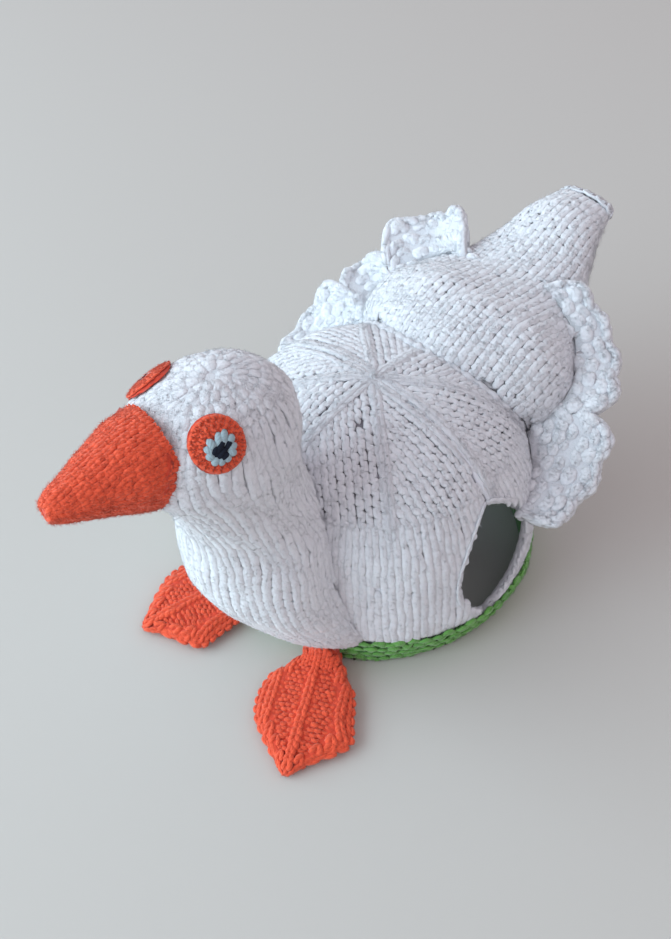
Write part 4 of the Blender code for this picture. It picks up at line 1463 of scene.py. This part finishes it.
class GOOSE_OT_feet(bpy.types.Operator):
    """Knits the two webbed feet"""

    bl_idname = "goose_cosy.feet"
    bl_label = "Feet"

    def execute(self, context):
        for seed, foot in enumerate(FEET):
            shape = (widen_foot, foot)
            fill = ground(foot[0], "fill", 0.0007, finish("orange_ground"), 0.0, shape=shape)
            knitting = Knitting(61 + seed, uneven=0.0)
            knit_foot(knitting, foot)
            knit_foot_edge(knitting, foot)
            knitting.make(f"{foot[0]}_stitches", finish("orange_yarn"), shape=shape)
        return {"FINISHED"}


# ---------------------------------------------------------------- tail


CAP_RINGS = (0.82, 0.50, 0.18)  # the closing rings' sizes, as shares of the tail's end
LIP_STITCH, LIP_YARN = 0.0058, 0.0020
JOIN_REACH, JOIN_STEP = 0.070, 0.0006  # how far along the tail the body is looked for, and in what steps


def knit_tail_join(knitting):
    """The sewn line over the top where the tail meets the body, and the cloth drawn in under it."""
    keys = np.radians(np.linspace(-88.0, 88.0, 133))
    ways = np.arange(0.0, JOIN_REACH, JOIN_STEP)
    starts = np.zeros(len(keys))
    for index, key in enumerate(keys):
        for way, point in zip(ways, tail_point(key, 0.0 * ways, ways)):
            if buried("body_back", point, 0.0):
                starts[index] = way
    starts = np.convolve(np.pad(starts, 4, "edge"), np.ones(9) / 9, "valid")
    points, ahead, further = (tail_point(keys, 0.0 * keys, starts + past) for past in (0.0, 0.002, 0.010))
    tail_up = unit(np.cross(np.gradient(points, axis=0), ahead - points))
    tail_up = tail_up * np.sign(((points - further.mean(axis=0)) * tail_up).sum(axis=1))[:, None]
    body_up = np.array([skin("body_back").find_nearest(Vector(point))[1] for point in points])
    up = unit(tail_up + body_up)
    widths = 0.0018 * (1.0 + 0.28 * np.sin(np.arange(len(keys)) * 0.9))
    knitting.strands(points - up * 0.0004, up, widths, flat=0.8)
    knitting.strands(points - up * 0.0026, up, 0.0034, flat=0.75)


def knit_tail_lip(knitting):
    """A chain round the tail's end, and the rings it is cast off and closed with."""
    count = int(oval_round(*TAIL_SECTIONS[-1][2:]) / LIP_STITCH)

    def place(k, row):
        way = np.clip(TAIL.length - 0.0010 - k * 0.0045, 0.0, TAIL.length)
        return tail_point(-row * 2 * math.pi / count, 0.0 * k, way)

    knitting.plain(place, *lattice([0.0], range(count)), gauge().white_yarn * 1.1, sink=0.0002)
    turns = np.linspace(0.0, 2 * math.pi, 33)
    ring = tail_point(-turns, 0.0 * turns, TAIL.length + 0.0 * turns)
    middle = ring[:-1].mean(axis=0)
    ahead = unit(np.cross(ring[8] - middle, ring[0] - middle))
    ahead = ahead * np.sign(np.dot(ahead, middle - tail_point(0.0, 0.0, 0.0)))
    for share in CAP_RINGS:
        widths = LIP_YARN * (1.0 + 0.12 * np.sin(turns * round(24 * share)))
        knitting.strands(middle + (ring - middle) * share - ahead * 0.0002, ahead, widths, flat=0.5)


class GOOSE_OT_tail(bpy.types.Operator):
    """Knits the stuffed tail and the lip round its closed end"""

    bl_idname = "goose_cosy.tail"
    bl_label = "Tail"

    def execute(self, context):
        # the fill is painted grey as the shade between the stitches
        ground("tail", "fill", 0.0018, finish("grey_ground"))
        pitch, row_height = gauge().tail_stitch, gauge().tail_row
        knitting = Knitting(71)
        for place, columns, fits in cone_wales(tail_point, TAIL, pitch, row_height):
            knitting.wales(
                place, columns, np.arange(int(TAIL.length / row_height)), fits, "tail", yarn=0.330 * pitch,
                swing=0.058, clear_of=("body_back", "ruffle_left", "ruffle_right"), flat=0.30, sink=0.0006,
                wobble=0.03,
            )
        knit_tail_lip(knitting)
        knit_tail_join(knitting)
        knitting.fuzz(11000, 0.0034)
        knitting.make("tail_stitches", finish("white_yarn"))
        return {"FINISHED"}


# ---------------------------------------------------------------- ruffle


RUFFLE_STEP, RUFFLE_ROWS = 5.6, 8  # degrees to a stitch, and rows from root to edge
LOOP_SPACING = 3.6  # degrees between the edge's loops


def knit_ruffle(knitting, ruffle):
    """Plump garter bumps in rows along both faces, puffed loops round the edge, and curled ends."""
    name, _, flaps = ruffle
    first, last, yarn = flaps[0][0], flaps[-1][1], gauge().ruffle_yarn
    for face in (1.0, -1.0):

        def place(k, row, face=face):
            share = np.clip(row / RUFFLE_ROWS, 0.0, 1.0)
            return ruffle_point(ruffle, first + (k + 0.5) * RUFFLE_STEP, share, face)

        k, row = lattice(np.arange(int((last - first) / RUFFLE_STEP) + 1), np.arange(1, RUFFLE_ROWS))
        k = k + 0.5 * (row % 2)
        kept, out = kept_stitches(name, place, k, row - 0.4, ("tail", "body_back"), 0.007)
        knitting.add(place, k[kept], row[kept], PURL, yarn * 1.38, out=out, flat=0.60, sink=0.0013, wobble=0.14)
    turns = np.linspace(0.15, math.pi - 0.15, 7)[None, :]
    count = int((last - first) / LOOP_SPACING) + 1
    for layer in (-0.8, 0.0, 0.8):
        degrees = first + (np.arange(count)[:, None] + 0.5 * (layer == 0.0)) * LOOP_SPACING
        share = 0.955 - 0.02 * abs(layer) + 0.045 * np.sin(turns) + knitting.random.normal(0, 0.008, (count, 1))
        around = degrees + LOOP_SPACING * 0.55 * np.cos(turns)
        points, upper, lower = (
            ruffle_point(ruffle, around, at, face)
            for at, face in ((share, 0.0), (0.8 + 0 * share, 1.0), (0.8 + 0 * share, -1.0))
        )
        normals = unit(upper - lower)
        swing = layer * 0.0022 + (knitting.random.random((count, 1)) - 0.5) * 0.0016
        knitting.strands(points + normals * swing[..., None], normals, yarn * (0.75 + 0.35 * np.sin(turns)), flat=0.95)
    turns = np.linspace(0.0, math.pi, 7)[None, :]
    share = np.linspace(0.25, 0.95, 9)[:, None] + 0.045 * np.cos(turns)
    for degrees, beyond in ((first + 0.8, -4), (last - 0.8, 4)):
        for face in (-0.6, 0.6):
            points, outer = (
                ruffle_point(ruffle, np.full(share.shape, at), share, face) for at in (degrees, degrees + beyond)
            )
            knitting.strands(points, unit(outer - points), yarn * (0.7 + 0.4 * np.sin(turns)), flat=0.9)
    knitting.fuzz(9000, 0.0034)


class GOOSE_OT_ruffle(bpy.types.Operator):
    """Knits the scalloped ruffle on both sides of the tail"""

    bl_idname = "goose_cosy.ruffle"
    bl_label = "Ruffle"

    def execute(self, context):
        for seed, (ruffle, area) in enumerate(zip(RUFFLES, (0.0036, 0.0044))):
            name = ruffle[0]
            # the cloth under the bumps is painted darker as shade
            cloth = ground(
                name, "cloth", 0.0004, finish("under_yarn"), 0.0, shape=(draw_ruffle, ruffle[1])
            )
            knitting = Knitting(81 + seed, uneven=0.0)
            knit_ruffle(knitting, ruffle)
            stitches = knitting.make(f"{name}_stitches", finish("bright_yarn"))
        return {"FINISHED"}


# ---------------------------------------------------------------- stage


CAMERA_AZIMUTH = 0.75579
CAMERA_ELEVATION = 0.83776
CAMERA_DISTANCE = 0.51232
CAMERA_TARGET = (-0.017029, -0.009421, 0.055)
CAMERA_LENS = 38.34
KEY_PLACE = (-0.97, -1.43, 0.70)
KEY_SIZE, KEY_POWER, KEY_COLOUR = 2.4, 62.0, (0.69, 0.905, 1.0)
SKY_COLOUR, SKY_STRENGTH = (1.0, 0.915, 0.975, 1.0), 0.677


def stand(name, data, place, ahead):
    """Stands a camera or a light at a place, looking ahead."""
    made = bpy.data.objects.new(name, data)
    bpy.context.scene.collection.objects.link(made)
    made.location = place
    made.rotation_euler = ahead.to_track_quat("-Z", "Y").to_euler()
    return made


class GOOSE_OT_stage(bpy.types.Operator):
    """Sets the floor, the light and the camera"""

    bl_idname = "goose_cosy.stage"
    bl_label = "Stage"

    def execute(self, context):
        scene = context.scene
        bpy.ops.mesh.primitive_plane_add(size=8.0, location=(0.0, 0.0, 0.0))
        floor = context.object
        floor.name = "floor"
        paper = bpy.data.materials.new("floor_paper")
        paper.use_nodes = True
        shader = paper.node_tree.nodes["Principled BSDF"]
        feed(paper.node_tree, shader, {"Base Color": (*colours().floor, 1.0), "Roughness": 0.85})
        floor.data.materials.append(paper)
        lamp = bpy.data.lights.new("key", "AREA")
        lamp.shape = "DISK"
        lamp.size, lamp.energy, lamp.color = KEY_SIZE, KEY_POWER, KEY_COLOUR
        stand("key", lamp, KEY_PLACE, Vector((0.0, 0.0, 0.06)) - Vector(KEY_PLACE))
        world = bpy.data.worlds.new("studio")
        world.use_nodes = True
        feed(world.node_tree, world.node_tree.nodes["Background"], {"Color": SKY_COLOUR, "Strength": SKY_STRENGTH})
        scene.world = world
        scene.view_settings.view_transform = "Standard"
        level = math.cos(CAMERA_ELEVATION)
        back = Vector((
            math.sin(CAMERA_AZIMUTH) * level, -math.cos(CAMERA_AZIMUTH) * level, math.sin(CAMERA_ELEVATION)
        ))
        lens = bpy.data.cameras.new("camera")
        lens.lens, lens.sensor_width, lens.clip_start = CAMERA_LENS, 36.0, 0.01
        scene.camera = stand("camera", lens, Vector(CAMERA_TARGET) + back * CAMERA_DISTANCE, -back)
        return {"FINISHED"}


# ---------------------------------------------------------------- add-on


OPERATORS = (
    GOOSE_OT_body,
    GOOSE_OT_border,
    GOOSE_OT_head,
    GOOSE_OT_beak,
    GOOSE_OT_eyes,
    GOOSE_OT_feet,
    GOOSE_OT_tail,
    GOOSE_OT_ruffle,
    GOOSE_OT_stage,
)


class GOOSE_PT_panel(bpy.types.Panel):
    """Lists the cosy's operators and settings"""

    bl_idname = "GOOSE_PT_panel"
    bl_label = "Goose Cosy"
    bl_space_type = "VIEW_3D"
    bl_region_type = "UI"
    bl_category = "Goose Cosy"

    def draw(self, context):
        for settings in (context.scene.cosy_colours, context.scene.cosy_gauge):
            box = self.layout.box()
            for name in settings.bl_rna.properties.keys():
                if name not in {"rna_type", "name"}:
                    box.prop(settings, name)
        for operator in OPERATORS:
            self.layout.operator(operator.bl_idname)


CLASSES = (CosyColours, CosyGauge, *OPERATORS, GOOSE_PT_panel)


def register():
    for each in CLASSES:
        bpy.utils.register_class(each)
    bpy.types.Scene.cosy_colours = bpy.props.PointerProperty(type=CosyColours)
    bpy.types.Scene.cosy_gauge = bpy.props.PointerProperty(type=CosyGauge)


def unregister():
    del bpy.types.Scene.cosy_gauge
    del bpy.types.Scene.cosy_colours
    for each in reversed(CLASSES):
        bpy.utils.unregister_class(each)


def main():
    register()
    for name in ("body", "border", "head", "beak", "eyes", "feet", "tail", "ruffle", "stage"):
        getattr(bpy.ops.goose_cosy, name)()


if __name__ == "__main__":
    main()
